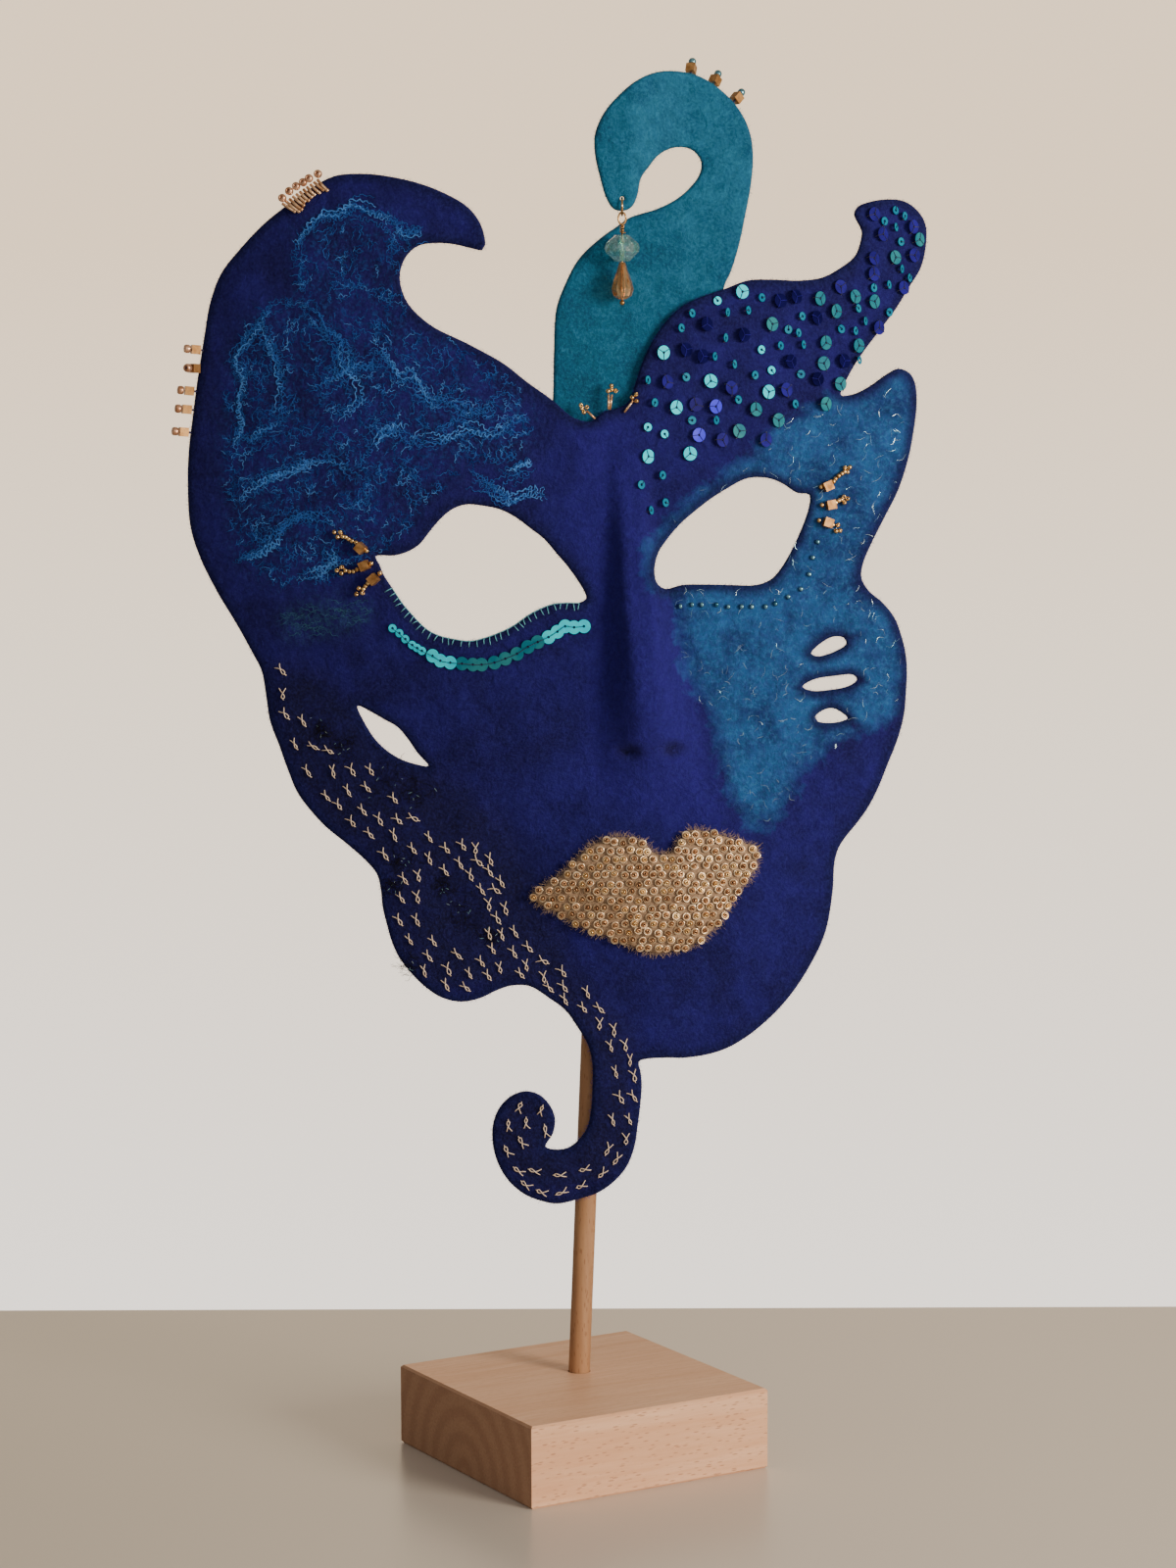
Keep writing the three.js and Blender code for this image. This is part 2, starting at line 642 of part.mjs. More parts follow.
function dropWire() {
  const at = dropHeights();
  const middle = ringMiddle();
  const loop_radius = (loop_width - drop_wire) / 2;
  const loop = new THREE.TorusGeometry(loop_radius, drop_wire / 2, wire_sides, 14);
  loop.scale(1, (loop_length - drop_wire) / (loop_width - drop_wire), 1);
  loop.rotateX(90 * degrees);
  loop.translate(0, 0, (at.loop_top + at.loop_low) / 2);
  const stem = uprightCylinder(drop_wire, at.ball, at.loop_low + drop_wire * 0.6);
  const wrap = uprightCylinder(wrap_diameter, at.loop_low - wrap_length, at.loop_low);
  const ball = new THREE.SphereGeometry(ball_diameter / 2, 8, 6);
  ball.translate(0, 0, at.ball);
  const body = geometryOf(joined([loop, stem, wrap, ball]));
  body.translate(middle.x, middle.y, 0);
  return mesh("drop_wire", body, gold_wire);
}

function uprightCylinder(diameter, from, to) {
  const body = new THREE.CylinderGeometry(diameter / 2, diameter / 2, to - from, 8);
  body.rotateX(90 * degrees);
  body.translate(0, 0, (from + to) / 2);
  return body;
}

// A drilled bead turned round Z: rows of radius and height shares from its low end
function drilledBead(sides, diameter, length, bore, rows) {
  const wall = rows.map(([radius, height]) => new THREE.Vector2(radius * diameter / 2, (height - 0.5) * length));
  const profile = [new THREE.Vector2(bore / 2, -length / 2), ...wall, new THREE.Vector2(bore / 2, length / 2)];
  profile.push(profile[0].clone());
  const body = new THREE.LatheGeometry(profile, sides);
  body.rotateX(90 * degrees);
  return geometryOf(solid(body));
}

function rondelle() {
  const at = dropHeights();
  const rows = [[0.38, 0], [0.78, 0.16], [1, 0.42], [1, 0.58], [0.78, 0.84], [0.38, 1]];
  const body = drilledBead(12, rondelle_diameter, rondelle_height, drop_wire + 2 * clearance, rows);
  body.translate(ringMiddle().x, ringMiddle().y, (at.rondelle_top + at.rondelle_low) / 2);
  return mesh("rondelle_bead", body, clear_blue_glass);
}

function teardrop() {
  const at = dropHeights();
  const rows = [[0.44, 0], [0.86, 0.12], [1, 0.3], [0.86, 0.52], [0.55, 0.8], [0.38, 0.97], [0.34, 1]];
  const body = drilledBead(12, teardrop_diameter, teardrop_length, drop_wire + 2 * clearance, rows);
  body.translate(ringMiddle().x, ringMiddle().y, (at.teardrop_top + at.teardrop_low) / 2);
  return mesh("teardrop_bead", body, amber_glass);
}

// Beads on the felt

// A drilled cube with its hole along Z
function cubeBead() {
  const half = cube_bead / 2;
  const shape = new THREE.Shape([
    new THREE.Vector2(-half, -half), new THREE.Vector2(half, -half),
    new THREE.Vector2(half, half), new THREE.Vector2(-half, half),
  ]);
  const bore = new THREE.Path();
  bore.absarc(0, 0, bead_bore / 2, 0, 2 * Math.PI, true);
  shape.holes.push(bore);
  const body = new THREE.ExtrudeGeometry(shape, { depth: cube_bead, bevelEnabled: false, curveSegments: 4 });
  body.translate(0, 0, -half);
  return body;
}

// A drilled round bead with its hole along Z
function roundBead(diameter) {
  return drilledBead(bead_sides, diameter, diameter * 0.8, bead_bore, [[0.62, 0], [0.96, 0.25], [0.96, 0.75], [0.62, 1]]);
}

// A piece on the mask's front: its own Z points along the felt at an angle and its own Y off the felt
function layOnFace(piece, point, points_deg, lift) {
  const off = frontNormal(maskFront, point.x, point.z);
  const turn = points_deg * degrees;
  const along = new THREE.Vector3(Math.cos(turn), 0, Math.sin(turn));
  along.addScaledVector(off, -along.dot(off)).normalize();
  const across = new THREE.Vector3().crossVectors(off, along);
  piece.setRotationFromMatrix(new THREE.Matrix4().makeBasis(across, off, along));
  piece.position.set(point.x, maskFront(point.x, point.z), point.z).addScaledVector(off, lift);
  return piece;
}

// How far a flat base of this length is lifted so that the bowed felt stays clear of its ends
function seatLift(point, half_length) {
  const off = frontNormal(maskFront, point.x, point.z);
  const here = new THREE.Vector3(point.x, maskFront(point.x, point.z), point.z);
  let rise = 0;
  for (let i = 0; i < 8; i += 1) {
    const turn = i * 45 * degrees;
    const x = point.x + Math.cos(turn) * half_length;
    const z = point.z + Math.sin(turn) * half_length;
    const spot = new THREE.Vector3(x, maskFront(x, z), z).sub(here);
    rise = Math.max(rise, spot.dot(off));
  }
  return rise + clearance;
}

function eyeCube(row, i) {
  const side = i < 3 ? "left" : "right";
  const piece = mesh("eye_cube_" + side + "_" + (i % 3 + 1), cubeBead(), pale_cube);
  const point = onMask(row);
  return layOnFace(piece, point, row.points, seatLift(point, cube_bead * 0.7) + cube_bead / 2);
}

function browPin(row, i) {
  const body = drilledBead(8, bugle_diameter, bugle_length, bugle_diameter / 2, [[1, 0], [1, 1]]);
  const piece = mesh("brow_pin_" + (i + 1), body, gold_wire);
  const point = onMask(row);
  return layOnFace(piece, point, row.points, seatLift(point, bugle_length / 2) + bugle_diameter / 2);
}

// A cube and a round bead in line, pointing away from a corner of the felt
function stackOnCorner(corner, away, size, name, round_finish) {
  const side = new THREE.Vector3().crossVectors(away, UP).normalize();
  const turn = new THREE.Matrix4().makeBasis(side, new THREE.Vector3().crossVectors(away, side), away);
  const cube = mesh(name + "_cube", cubeBead(), pale_cube);
  cube.setRotationFromMatrix(turn);
  cube.position.copy(corner).addScaledVector(away, stack_clearance + cube_bead / 2);
  const bead = mesh(name + "_bead", roundBead(size), round_finish);
  bead.setRotationFromMatrix(turn);
  bead.position.copy(corner).addScaledVector(away, stack_clearance + cube_bead + clearance + size * 0.4);
  return [cube, bead];
}

function edgeStack(row, i) {
  const point = onMask(row);
  point.y = maskFront(point.x, point.z);
  const off = frontNormal(maskFront, point.x, point.z);
  const out = new THREE.Vector3(-1, 0, 0.1);
  const away = off.multiplyScalar(1 - row.outward).addScaledVector(out, row.outward).normalize();
  return stackOnCorner(point, away, round_bead, "edge_stack_" + (i + 1), copper_bead);
}

function crestStack(row, i) {
  const point = onNeck(row);
  point.y = neckBack(point.x, point.z);
  const head = onNeck({ across: 0.6, up: 0.72 });
  const out = new THREE.Vector3(point.x - head.x, 0, point.z - head.z).normalize();
  const away = BACK.clone().multiplyScalar(1 - row.outward).addScaledVector(out, row.outward).normalize();
  return stackOnCorner(point, away, crest_bead, "crest_stack_" + (i + 1), clear_blue_glass);
}

// Comb on the horn's edge: a row of fine tubes side by side with round beads on their outer ends, all one
function hornComb() {
  const row_way = new THREE.Vector3(Math.cos(comb_turn_deg * degrees), 0, Math.sin(comb_turn_deg * degrees));
  const half = comb_tube_pitch * (comb_tubes - 1) / 2;
  const from = onMask(comb_middle).addScaledVector(row_way, -half);
  const to = onMask(comb_middle).addScaledVector(row_way, half);
  const inward = new THREE.Vector3(row_way.z, 0, -row_way.x);
  const off = frontNormal(maskFront, (from.x + to.x) / 2, (from.z + to.z) / 2);
  const pieces = [];
  const place = (share, in_from_edge, lift) => {
    const point = from.clone().lerp(to, share).addScaledVector(inward, in_from_edge);
    point.y = maskFront(point.x, point.z);
    return point.addScaledVector(off, lift);
  };
  const lift = clearance + comb_tube * 0.62;
  for (let i = 0; i < comb_tubes; i += 1) {
    const outer = place(i / (comb_tubes - 1), 0, lift);
    const inner = place(i / (comb_tubes - 1), comb_tube_length, lift);
    pieces.push(rodBetween(outer, inner, comb_tube, wire_sides));
  }
  for (let i = 0; i < comb_beads; i += 1) {
    const ball = new THREE.SphereGeometry(round_bead / 2, 7, 4);
    const middle = place((i + 0.1) / (comb_beads - 0.8), -round_bead * 0.1, lift + round_bead * 0.42);
    ball.translate(middle.x, middle.y, middle.z);
    pieces.push(ball);
  }
  return mesh("horn_comb", geometryOf(joined(pieces)), copper_bead);
}

function rodBetween(a, b, diameter, sides) {
  const body = new THREE.CylinderGeometry(diameter / 2, diameter / 2, a.distanceTo(b), sides);
  const way = b.clone().sub(a).normalize();
  body.applyQuaternion(new THREE.Quaternion().setFromUnitVectors(new THREE.Vector3(0, 1, 0), way));
  body.translate((a.x + b.x) / 2, (a.y + b.y) / 2, (a.z + b.z) / 2);
  return body;
}

// String of sequins under the left eye: small ones, then large ones lapped like scales and fused
function sequinString() {
  const path = new THREE.CatmullRomCurve3(string_rows.map(onMask), false, "centripetal");
  const small_step = sequin_small * 0.9;
  const large_step = sequin_large * 0.78;
  const small_length = small_step * string_small_count;
  const large_count = Math.round((path.getLength() - small_length) / large_step);
  const pieces = [];
  const total = string_small_count + large_count;
  for (let i = 0; i < total; i += 1) {
    const small = i < string_small_count;
    const diameter = small ? sequin_small : sequin_large;
    const length = small ? i * small_step : small_length + (i - string_small_count) * large_step;
    const point = path.getPointAt(Math.min(1, length / path.getLength()));
    const off = frontNormal(maskFront, point.x, point.z);
    const disc = new THREE.CylinderGeometry(diameter / 2, diameter / 2, sequin_thickness, sequin_sides);
    disc.applyQuaternion(new THREE.Quaternion().setFromUnitVectors(new THREE.Vector3(0, 1, 0), off));
    const lift = seatLift(point, sequin_large / 2) + sequin_thickness * (0.5 + (i % 2) * 0.5);
    const middle = new THREE.Vector3(point.x, maskFront(point.x, point.z), point.z).addScaledVector(off, lift);
    disc.translate(middle.x, middle.y, middle.z);
    pieces.push(disc);
  }
  return mesh("sequin_string", geometryOf(joined(pieces)), sequin_blue);
}

export default group;
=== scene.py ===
import math
import random

import bpy
import numpy as np
from mathutils import Matrix, Vector, geometry, kdtree


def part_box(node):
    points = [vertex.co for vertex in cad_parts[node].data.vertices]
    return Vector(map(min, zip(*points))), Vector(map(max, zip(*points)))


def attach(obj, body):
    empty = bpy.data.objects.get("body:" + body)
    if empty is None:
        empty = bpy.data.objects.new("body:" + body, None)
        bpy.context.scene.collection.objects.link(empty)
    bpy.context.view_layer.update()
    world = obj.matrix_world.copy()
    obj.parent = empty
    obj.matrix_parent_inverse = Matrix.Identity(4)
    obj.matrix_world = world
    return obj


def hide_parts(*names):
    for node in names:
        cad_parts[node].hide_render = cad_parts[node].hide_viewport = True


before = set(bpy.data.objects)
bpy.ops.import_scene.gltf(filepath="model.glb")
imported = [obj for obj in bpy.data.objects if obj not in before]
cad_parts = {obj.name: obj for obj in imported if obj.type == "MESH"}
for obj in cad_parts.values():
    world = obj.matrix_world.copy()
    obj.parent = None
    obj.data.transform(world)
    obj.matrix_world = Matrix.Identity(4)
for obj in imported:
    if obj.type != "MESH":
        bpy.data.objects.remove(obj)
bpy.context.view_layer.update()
MM = 0.001

# Camera, solved from the seven visible corners of the square block
PHOTO_MIDDLE = (600, 800)
PHOTO_HEIGHT = 1600
FOCAL_PIXELS = 3560
SENSOR = 36
PITCH_DOWN = math.radians(5.42)
ROLL = math.radians(-0.19)
CAMERA_PLACE = np.array([3.1, -1274.9, 372.9])

# Felt mask and stand, as in the part's source
BLOCK_TURN = math.radians(30.5)
BLOCK_TOP = 30.0
DOWEL_DIAMETER = 8.0
DOWEL_LEAN = math.radians(2.35)
DOWEL_SETBACK = 7.7
DOWEL_SIDE_SHIFT = -0.95
CLEARANCE = 0.3
FELT = 3.0
MASK_WIDTH = 275.0
MASK_HEIGHT = 380.0
MASK_LIFT = 64.5
SIDE_BOW = 28.6
BROW_BOW = 10.2
CHIN_BOW = 4.3
FACE_TILT = math.radians(6.4)
NOSE_WIDTH = 39.0
NOSE_LENGTH = 119.0
NOSE_HEIGHT = 17.0
NOSE_TILT = math.radians(4.5)
NOSE_RIDGE_SHARE = 0.34
MOUTH_SWELL = 4.0
LIPS_WIDTH = 84.0
LIPS_HEIGHT = 47.0
LIPS_FELT = 3.0
NECK_WIDTH = 74.5
NECK_HEIGHT = 139.0
BEAK_FORWARD = 10.5
BEAK_LINE_START = (0.190, 0.564)  # the beak bends forward above this line, in shares of the neck
BEAK_LINE_SLOPE = 0.304
BEAK_BEND_HALF = 0.013
BEAK_BEND_FADES = (0.381, 0.693)
SLEEVE_WIDTH = 24.0
SLEEVE_LENGTH = 29.0
RING_RADIUS = 3.1
RING_WIRE = 0.8
DROP_WIRE = 0.7
LOOP_WIDTH = 3.4
LOOP_LENGTH = 5.0
WRAP_LENGTH = 3.2
RONDELLE_DIAMETER = 12.8
RONDELLE_HEIGHT = 9.4
TEARDROP_DIAMETER = 8.2
TEARDROP_LENGTH = 13.2
BALL_DIAMETER = 1.9
RING_HOLE = (0.352, 0.662)
RING_HOLE_RADIUS = 0.75

# Small trimmings
SEED = 1.75
CUBE_ROUNDING = 0.32
BLOCK_ROUNDING = 0.35
LARGE_SEQUIN = 5.0
SMALL_SEQUIN = 3.1
CUP_SEQUIN = 3.0
CUP_SPACING = 3.45
THREAD = 0.36
FINE_THREAD = 0.26

# Places on the mask, in shares of its width and height
MASK_LEFT = -0.533
MIDDLE_LINE = (0.633, 0.467)
BOW_MIDDLE = 0.51
NOSE_TOP = (0.5953, 0.753)
MOUTH_MIDDLE = (0.625, 0.313)
NECK_CORNER = (0.496, 0.7305)
TAIL_LEAN = math.radians(8)  # of the felt where the tail passes the dowel
NOSTRIL_SIZE = (3.8, 2.2)
NOSTRIL_SHADE = (4.4, 2.5)
NOSTRIL_DEPTH = 3.4
FOLD_DEPTH = 1.6
FOLD_WIDTH = 1.1
NOSE_SECTIONS = [  # along, wide, proud
    (0.00, 0.42, 0.00), (0.16, 0.46, 0.12), (0.36, 0.52, 0.34), (0.60, 0.66, 0.56),
    (0.76, 0.84, 0.68), (0.86, 1.02, 0.66), (0.94, 1.12, 0.52), (1.02, 1.16, 0.30),
    (1.10, 1.16, 0.11), (1.18, 1.16, 0.00),
]
SWAN_BASE = [  # the hidden base behind the forehead, in shares of the neck
    (0.868, 0.361), (0.772, 0.247), (0.617, 0.119), (0.402, 0.023), (0.210, 0.000), (0.052, 0.031),
    (0.000, 0.100),
]

# Outlines in the photograph's pixels, clockwise
MASK_OUTLINE = [
    (410, 296), (408, 279), (414, 262), (426, 251), (442, 248), (462.5, 249), (480, 253), (492, 255),
    (495, 250), (493.5, 237.5), (488, 224), (476, 210), (456, 198), (431.5, 188), (404, 181),
    (373, 177), (342, 179), (318, 191), (294, 208), (270, 227), (245, 253), (225, 279), (214, 308),
    (208, 343), (202, 380), (196.5, 422), (192, 460), (191, 498), (194, 539), (204, 570), (221, 604),
    (242, 639), (259, 670), (266.5, 685), (271.6, 715), (275, 736), (284, 760), (293, 785),
    (303, 809), (315.5, 826), (332, 844), (354, 862), (373, 879), (384, 892), (388, 907), (390, 926),
    (395, 946), (399, 960), (406, 976), (417, 991), (434, 1008), (451.5, 1019), (471, 1023),
    (490.6, 1019), (506, 1011.6), (521, 1006.7), (540, 1007), (560, 1019), (577, 1032), (590, 1050),
    (600, 1067), (604.4, 1086), (604.4, 1112), (603, 1134), (599, 1151.5), (591, 1163), (579, 1172),
    (566.4, 1173.6), (556.7, 1170.5), (564, 1158), (566.4, 1143), (562, 1130), (551, 1118),
    (538, 1114), (523, 1118), (510, 1130), (503, 1147), (502.5, 1167), (508, 1188), (519, 1206),
    (534, 1219), (551, 1226), (568.6, 1229), (588, 1225), (610, 1218), (627, 1206), (640, 1190.5),
    (648, 1169), (651, 1149), (653.6, 1128), (655, 1106), (653.6, 1093), (652, 1084), (680, 1080),
    (700, 1080), (735, 1073), (760, 1060), (785, 1040), (810, 1012), (830, 980), (843, 950),
    (850, 910), (852, 880), (856, 866), (862, 856), (875, 840), (887, 823), (898, 801), (907, 778),
    (916.5, 754), (923, 729), (925, 707), (926, 686.5), (925, 670), (920.6, 650), (913.5, 631),
    (901, 615), (887, 603), (879.5, 590), (881, 575.5), (889, 556), (903, 528), (917, 500),
    (927, 469), (933, 438), (936, 410), (934, 390), (928.6, 380.6), (917, 376), (903, 383),
    (889, 393), (872.5, 401.6), (858.4, 403), (867, 382), (881, 359.5), (898, 337), (914.5, 315),
    (928.6, 292), (940, 273), (945.4, 250), (945, 229), (937, 215), (923, 205), (906, 203),
    (886.5, 206), (875, 211), (871.6, 219), (876, 228), (879.5, 236), (878, 247), (872.5, 261),
    (858, 273), (839, 283), (816, 286), (788, 285), (763, 286), (738.5, 295), (713, 304),
    (692.6, 315), (672, 338), (657, 366), (649, 389), (641.5, 409.5), (629, 417), (616, 420),
    (603, 430), (585, 426), (562, 407), (537, 389), (514, 371), (478, 351), (440, 332), (418, 312),
]
LEFT_EYE = [
    (383, 568), (402, 567), (416, 563), (428, 555.5), (438, 543), (449, 530), (461, 520), (475, 515),
    (491, 516), (510, 520), (526, 528), (542, 540), (555, 550), (567, 564), (579, 578), (589, 592),
    (596.5, 604.5), (598, 611), (591, 615), (579, 615), (565, 616), (551, 621), (538, 628),
    (524, 638), (510, 645), (493.5, 651), (479, 654), (463, 652), (446.5, 648), (434, 641),
    (422, 629), (410, 615), (400, 600), (391, 586), (387, 576),
]
RIGHT_EYE = [
    (668, 581), (672, 564), (679, 553), (693, 536), (710, 521), (727, 508), (743, 498), (760, 489),
    (774, 487), (788, 489), (799.5, 494), (813.5, 503), (826, 505), (825.6, 517), (820.6, 533),
    (813.5, 550), (805, 567), (794, 584), (785.5, 592), (771.5, 597), (746, 597), (721, 596.5),
    (696, 597), (679, 601), (670.5, 595),
]
LEFT_SLIT = [
    (364.5, 720.6), (377, 726), (391, 734), (405, 742), (415.5, 754), (426, 769), (437, 782),
    (424, 780), (409, 775), (395, 766.5), (383, 755), (373, 740),
]
TOP_SLIT = [
    (828, 667), (836, 658), (850, 650), (861, 651), (864, 657), (856, 663), (844, 668), (834, 670),
]
MIDDLE_SLIT = [
    (819, 701), (830, 694), (852, 690), (871, 689), (875, 694), (866.5, 700), (848, 704), (828, 705),
]
LOW_SLIT = [
    (832, 732), (840, 725), (850, 723), (860, 728), (865.5, 733.5), (856, 737), (844, 738),
    (835, 736.5),
]
SWAN_OUTLINE = [
    (564, 407), (565, 361), (567.6, 315), (576.5, 290), (590.5, 264), (611, 244), (629, 231),
    (644, 221), (670, 213), (690, 203), (705, 190), (714, 177), (715.5, 165), (708, 154), (698, 150),
    (685, 151), (672, 158), (662, 170), (654, 182), (650.5, 199), (645, 210.5), (636, 215),
    (626, 213), (618.6, 202), (612, 180), (607, 157), (607, 136.5), (616, 115), (631, 97), (649, 82),
    (670, 73), (690, 72), (710, 76), (728, 85.5), (746, 101), (759, 119), (766.5, 139), (768.6, 162),
    (766.5, 188), (761, 218), (754, 251), (746, 277), (738.5, 295),
]
LIPS_OUTLINE = [
    (541, 915), (552, 904), (563, 897), (577, 887), (597, 865), (624, 853), (641, 853), (657.5, 858),
    (666, 868), (677, 871), (688, 866), (696, 854), (706, 845), (724, 847), (740, 851), (754, 856),
    (775, 865), (774.5, 879), (768, 893), (757.5, 906), (743, 929), (734, 943), (722, 956),
    (707.5, 965), (691, 970), (674, 974), (659, 972), (643, 966), (627, 959), (613, 954),
    (599, 949.5), (581, 940), (566, 931), (552, 925),
]

# Areas of colour laid in the wool, and of painted light and shade, in the photograph's pixels
CERULEAN_CHEEK = [
    (660, 565), (668, 544), (700, 512), (735, 486), (762, 462), (785, 438), (812, 418), (840, 405),
    (862, 402), (890, 392), (918, 375), (940, 390), (940, 440), (925, 500), (900, 545), (885, 590),
    (915, 620), (932, 680), (928, 722), (900, 742), (862, 757), (835, 775), (815, 790), (808, 815),
    (790, 838), (768, 846), (752, 828), (738, 800), (730, 761), (716, 717), (702, 690), (694, 640),
    (686, 612), (664, 600),
]
FOREHEAD_HAZE = [
    (300, 235), (345, 215), (395, 215), (425, 240), (412, 270), (425, 320), (470, 350), (530, 395),
    (545, 440), (520, 470), (470, 478), (430, 520), (400, 560), (350, 590), (290, 600), (245, 575),
    (228, 520), (225, 440), (236, 360), (265, 312), (300, 300),
]
GREEN_PATCH = [(288, 625), (330, 612), (375, 612), (378, 632), (330, 650), (292, 652)]
DARK_CHEEK = [
    (285, 680), (330, 690), (380, 745), (450, 790), (520, 850), (560, 940), (600, 1010), (640, 1060),
    (645, 1190), (560, 1220), (505, 1180), (510, 1120), (600, 1100), (560, 1030), (500, 1010),
    (430, 1005), (395, 940), (385, 890), (330, 840), (290, 770),
]
# Painted light: the nose and its right side, drawn lighter where they face the lamp
LIT_NOSE_AREA = [
    (590, 430), (645, 430), (662, 520), (668, 600), (690, 650), (712, 720), (728, 780), (740, 850),
    (700, 845), (640, 830), (600, 800), (600, 700), (605, 610), (575, 540),
]
SLIT_HOLLOWS = [  # middle, half length, turn in degrees: folds at the slits' right ends, dented in the felt and darkened with painted shade
    ((868, 649), 3.2, 12), ((878, 695), 3.4, 0), ((871, 738), 3.4, -35),
]

# Curly wool locks on the forehead: paths in the photograph's pixels and how bright each one lies
LOCKS = [
    (1.0, [(308, 292), (305, 274), (306.5, 250), (318.5, 232), (329, 221.5), (347, 220), (360.5, 209.5),
           (377, 214), (392, 221.5), (404, 233.5), (413, 245.5)]),
    (0.5, [(404, 233.5), (416, 238), (430, 236.5)]),
    (0.9, [(311, 308), (293, 313), (276.5, 317.5), (269, 328), (254, 349), (242, 361), (240.5, 370),
           (248, 385), (245, 400), (243.5, 415), (248, 430), (239, 448), (245, 463)]),
    (0.9, [(269, 328), (275, 352), (282.5, 370), (287, 397), (285.5, 421), (288.5, 433)]),
    (0.9, [(308, 292), (311, 310), (326, 322), (335, 340), (347, 346), (350, 361), (353, 376), (365, 400),
           (359, 418), (347, 430)]),
    (1.0, [(353, 349), (368, 361), (386, 358), (395, 370), (407, 385), (419, 382), (428, 397), (438, 415),
           (455, 412), (476, 424), (494, 424), (500, 412), (512, 406)]),
    (0.7, [(413, 451), (425, 448), (455, 448), (473, 436), (494, 445), (515, 439), (536, 439)]),
    (0.8, [(377, 466), (383, 448), (395, 439), (413, 442)]),
    (0.9, [(245, 520), (254, 502), (275, 487), (302, 478), (323, 469), (344, 469), (362, 484), (371, 493)]),
    (0.6, [(239, 547), (275, 547), (290, 535), (314, 526), (335, 529), (347, 535)]),
    (0.8, [(240, 575), (254, 571), (275, 562), (287, 550)]),
    (0.8, [(335, 577), (338, 562), (344, 571), (326, 583), (305, 588)]),
    (0.9, [(467, 484), (482, 490), (500, 499), (518, 511), (533, 505), (548, 505), (560, 514)]),
    (0.7, [(509, 490), (527, 481), (542, 475)]),
    (0.5, [(240, 440), (260, 452), (275, 440), (290, 433)]),
    (0.5, [(320, 400), (335, 392), (352, 380), (370, 372), (392, 372)]),
]
BLACK_TUFTS = [
    ((350, 765), 13), ((402, 795), 22), ((425, 812), 16), ((410, 880), 14), ((400, 905), 10),
    ((475, 930), 20), ((415, 985), 12), ((452, 905), 12), ((330, 745), 10), ((500, 955), 10),
]

# Hand stitches, sequins and beads, in the photograph's pixels
FLY_STITCHES = [
    (287, 683), (289, 708), (291, 728), (309, 735), (301, 759), (319, 761), (335, 765.5),
    (313.5, 786), (340, 786), (359, 785), (378, 785), (333, 812), (355, 806), (374, 803),
    (402, 814.5), (345.5, 821), (370, 826), (359, 838), (387, 835), (406, 836), (421, 834),
    (377, 850), (402, 851), (438, 854), (392, 871), (421, 865.5), (438, 875), (455, 865.5),
    (472, 862), (485.5, 865.5), (469, 880), (487, 878), (500, 876), (454, 888), (480, 892),
    (499, 888), (412, 896), (427, 893), (409, 915.5), (426, 914.5), (491, 907), (505, 907),
    (511, 899), (499, 922), (515.5, 926), (507, 936), (407, 938), (425, 938), (499, 952),
    (512, 953), (525, 950), (418, 958.5), (442, 960), (437, 975), (466, 973), (491, 981),
    (502.5, 968), (524, 971), (539, 966), (433, 990), (457, 988), (479, 993), (510, 987),
    (537, 984.5), (554, 980), (455, 1004), (475, 1007), (498, 995), (531, 993), (555, 996.5),
    (574, 991), (560, 1007), (575, 1006), (576, 1019), (599, 1012), (595, 1028), (611, 1028),
    (612, 1044), (626.5, 1050), (623, 1067), (638, 1066), (643, 1081), (628, 1093), (647, 1097),
    (632.5, 1119), (646, 1118), (625, 1142), (642, 1142), (639, 1162), (621, 1172), (630, 1182),
    (615, 1197), (597, 1193), (593.5, 1210), (572, 1199), (574, 1216.5), (553, 1216.5), (546, 1195),
    (537, 1209), (530, 1195), (518, 1175), (533, 1166), (519, 1149), (537, 1146), (557, 1155),
    (530, 1130), (552, 1133),
]
TEAL_SEQUINS = [
    (677, 360), (725, 389), (690, 416), (661, 466), (704, 463), (757, 298), (784, 400),
    (787.5, 331), (836, 305), (852.5, 318), (872, 303), (891.5, 308), (913, 263), (937, 245),
    (842, 350), (875.5, 353),
    (840, 371), (771, 418), (754, 440), (794, 429), (842, 412.5), (857, 392),
]
# Two sequins of VIOLET_SEQUINS' film that catch the lamp, drawn in a lighter film: painted light
LIT_VIOLET_SEQUINS = [(730, 415), (713, 444)]
VIOLET_SEQUINS = [
    (891, 264), (710, 413), (746, 396), (802, 398), (681, 390), (737, 449),
    (781, 449), (891.5, 219), (900, 239.5), (891, 280), (857, 293), (932, 261), (921.5, 294),
    (896, 335), (931, 232),
]
NAVY_SEQUINS = [
    (812, 303), (796, 307), (721, 331), (700, 357), (717, 364), (759, 342), (833, 324.5),
    (806.5, 369), (861, 368.5), (834, 387),
]
SMALL_BRIGHT_SEQUINS = [(732, 307), (776.5, 357), (787, 378), (661, 436), (678, 443)]
SMALL_TEAL_SEQUINS = [
    (777, 304), (742, 319), (695, 335), (740, 345), (729, 364), (749, 372),
    (661, 388), (700, 385), (753, 408), (706, 429), (730.5, 429),
    (654, 495), (676, 485), (663, 521), (679, 513), (804, 336.5), (814, 340), (796, 353), (819, 352),
    (818, 323), (891, 294), (906, 291), (919, 275), (927, 284), (918.5, 247), (913, 215), (922, 221),
    (902, 226), (913, 232.5), (875, 315), (882, 328), (907, 319), (872, 338), (858, 336), (817, 382),
    (811, 412.5), (876, 368), (763, 317), (706, 320), (668, 411), (770, 383),
]
BRIGHT_SEQUINS = 7  # this many of TEAL_SEQUINS, from the first, catch the light
STRING_SMALL = [(401, 641), (408, 646), (414, 652), (421, 658), (426, 661), (431, 664)]
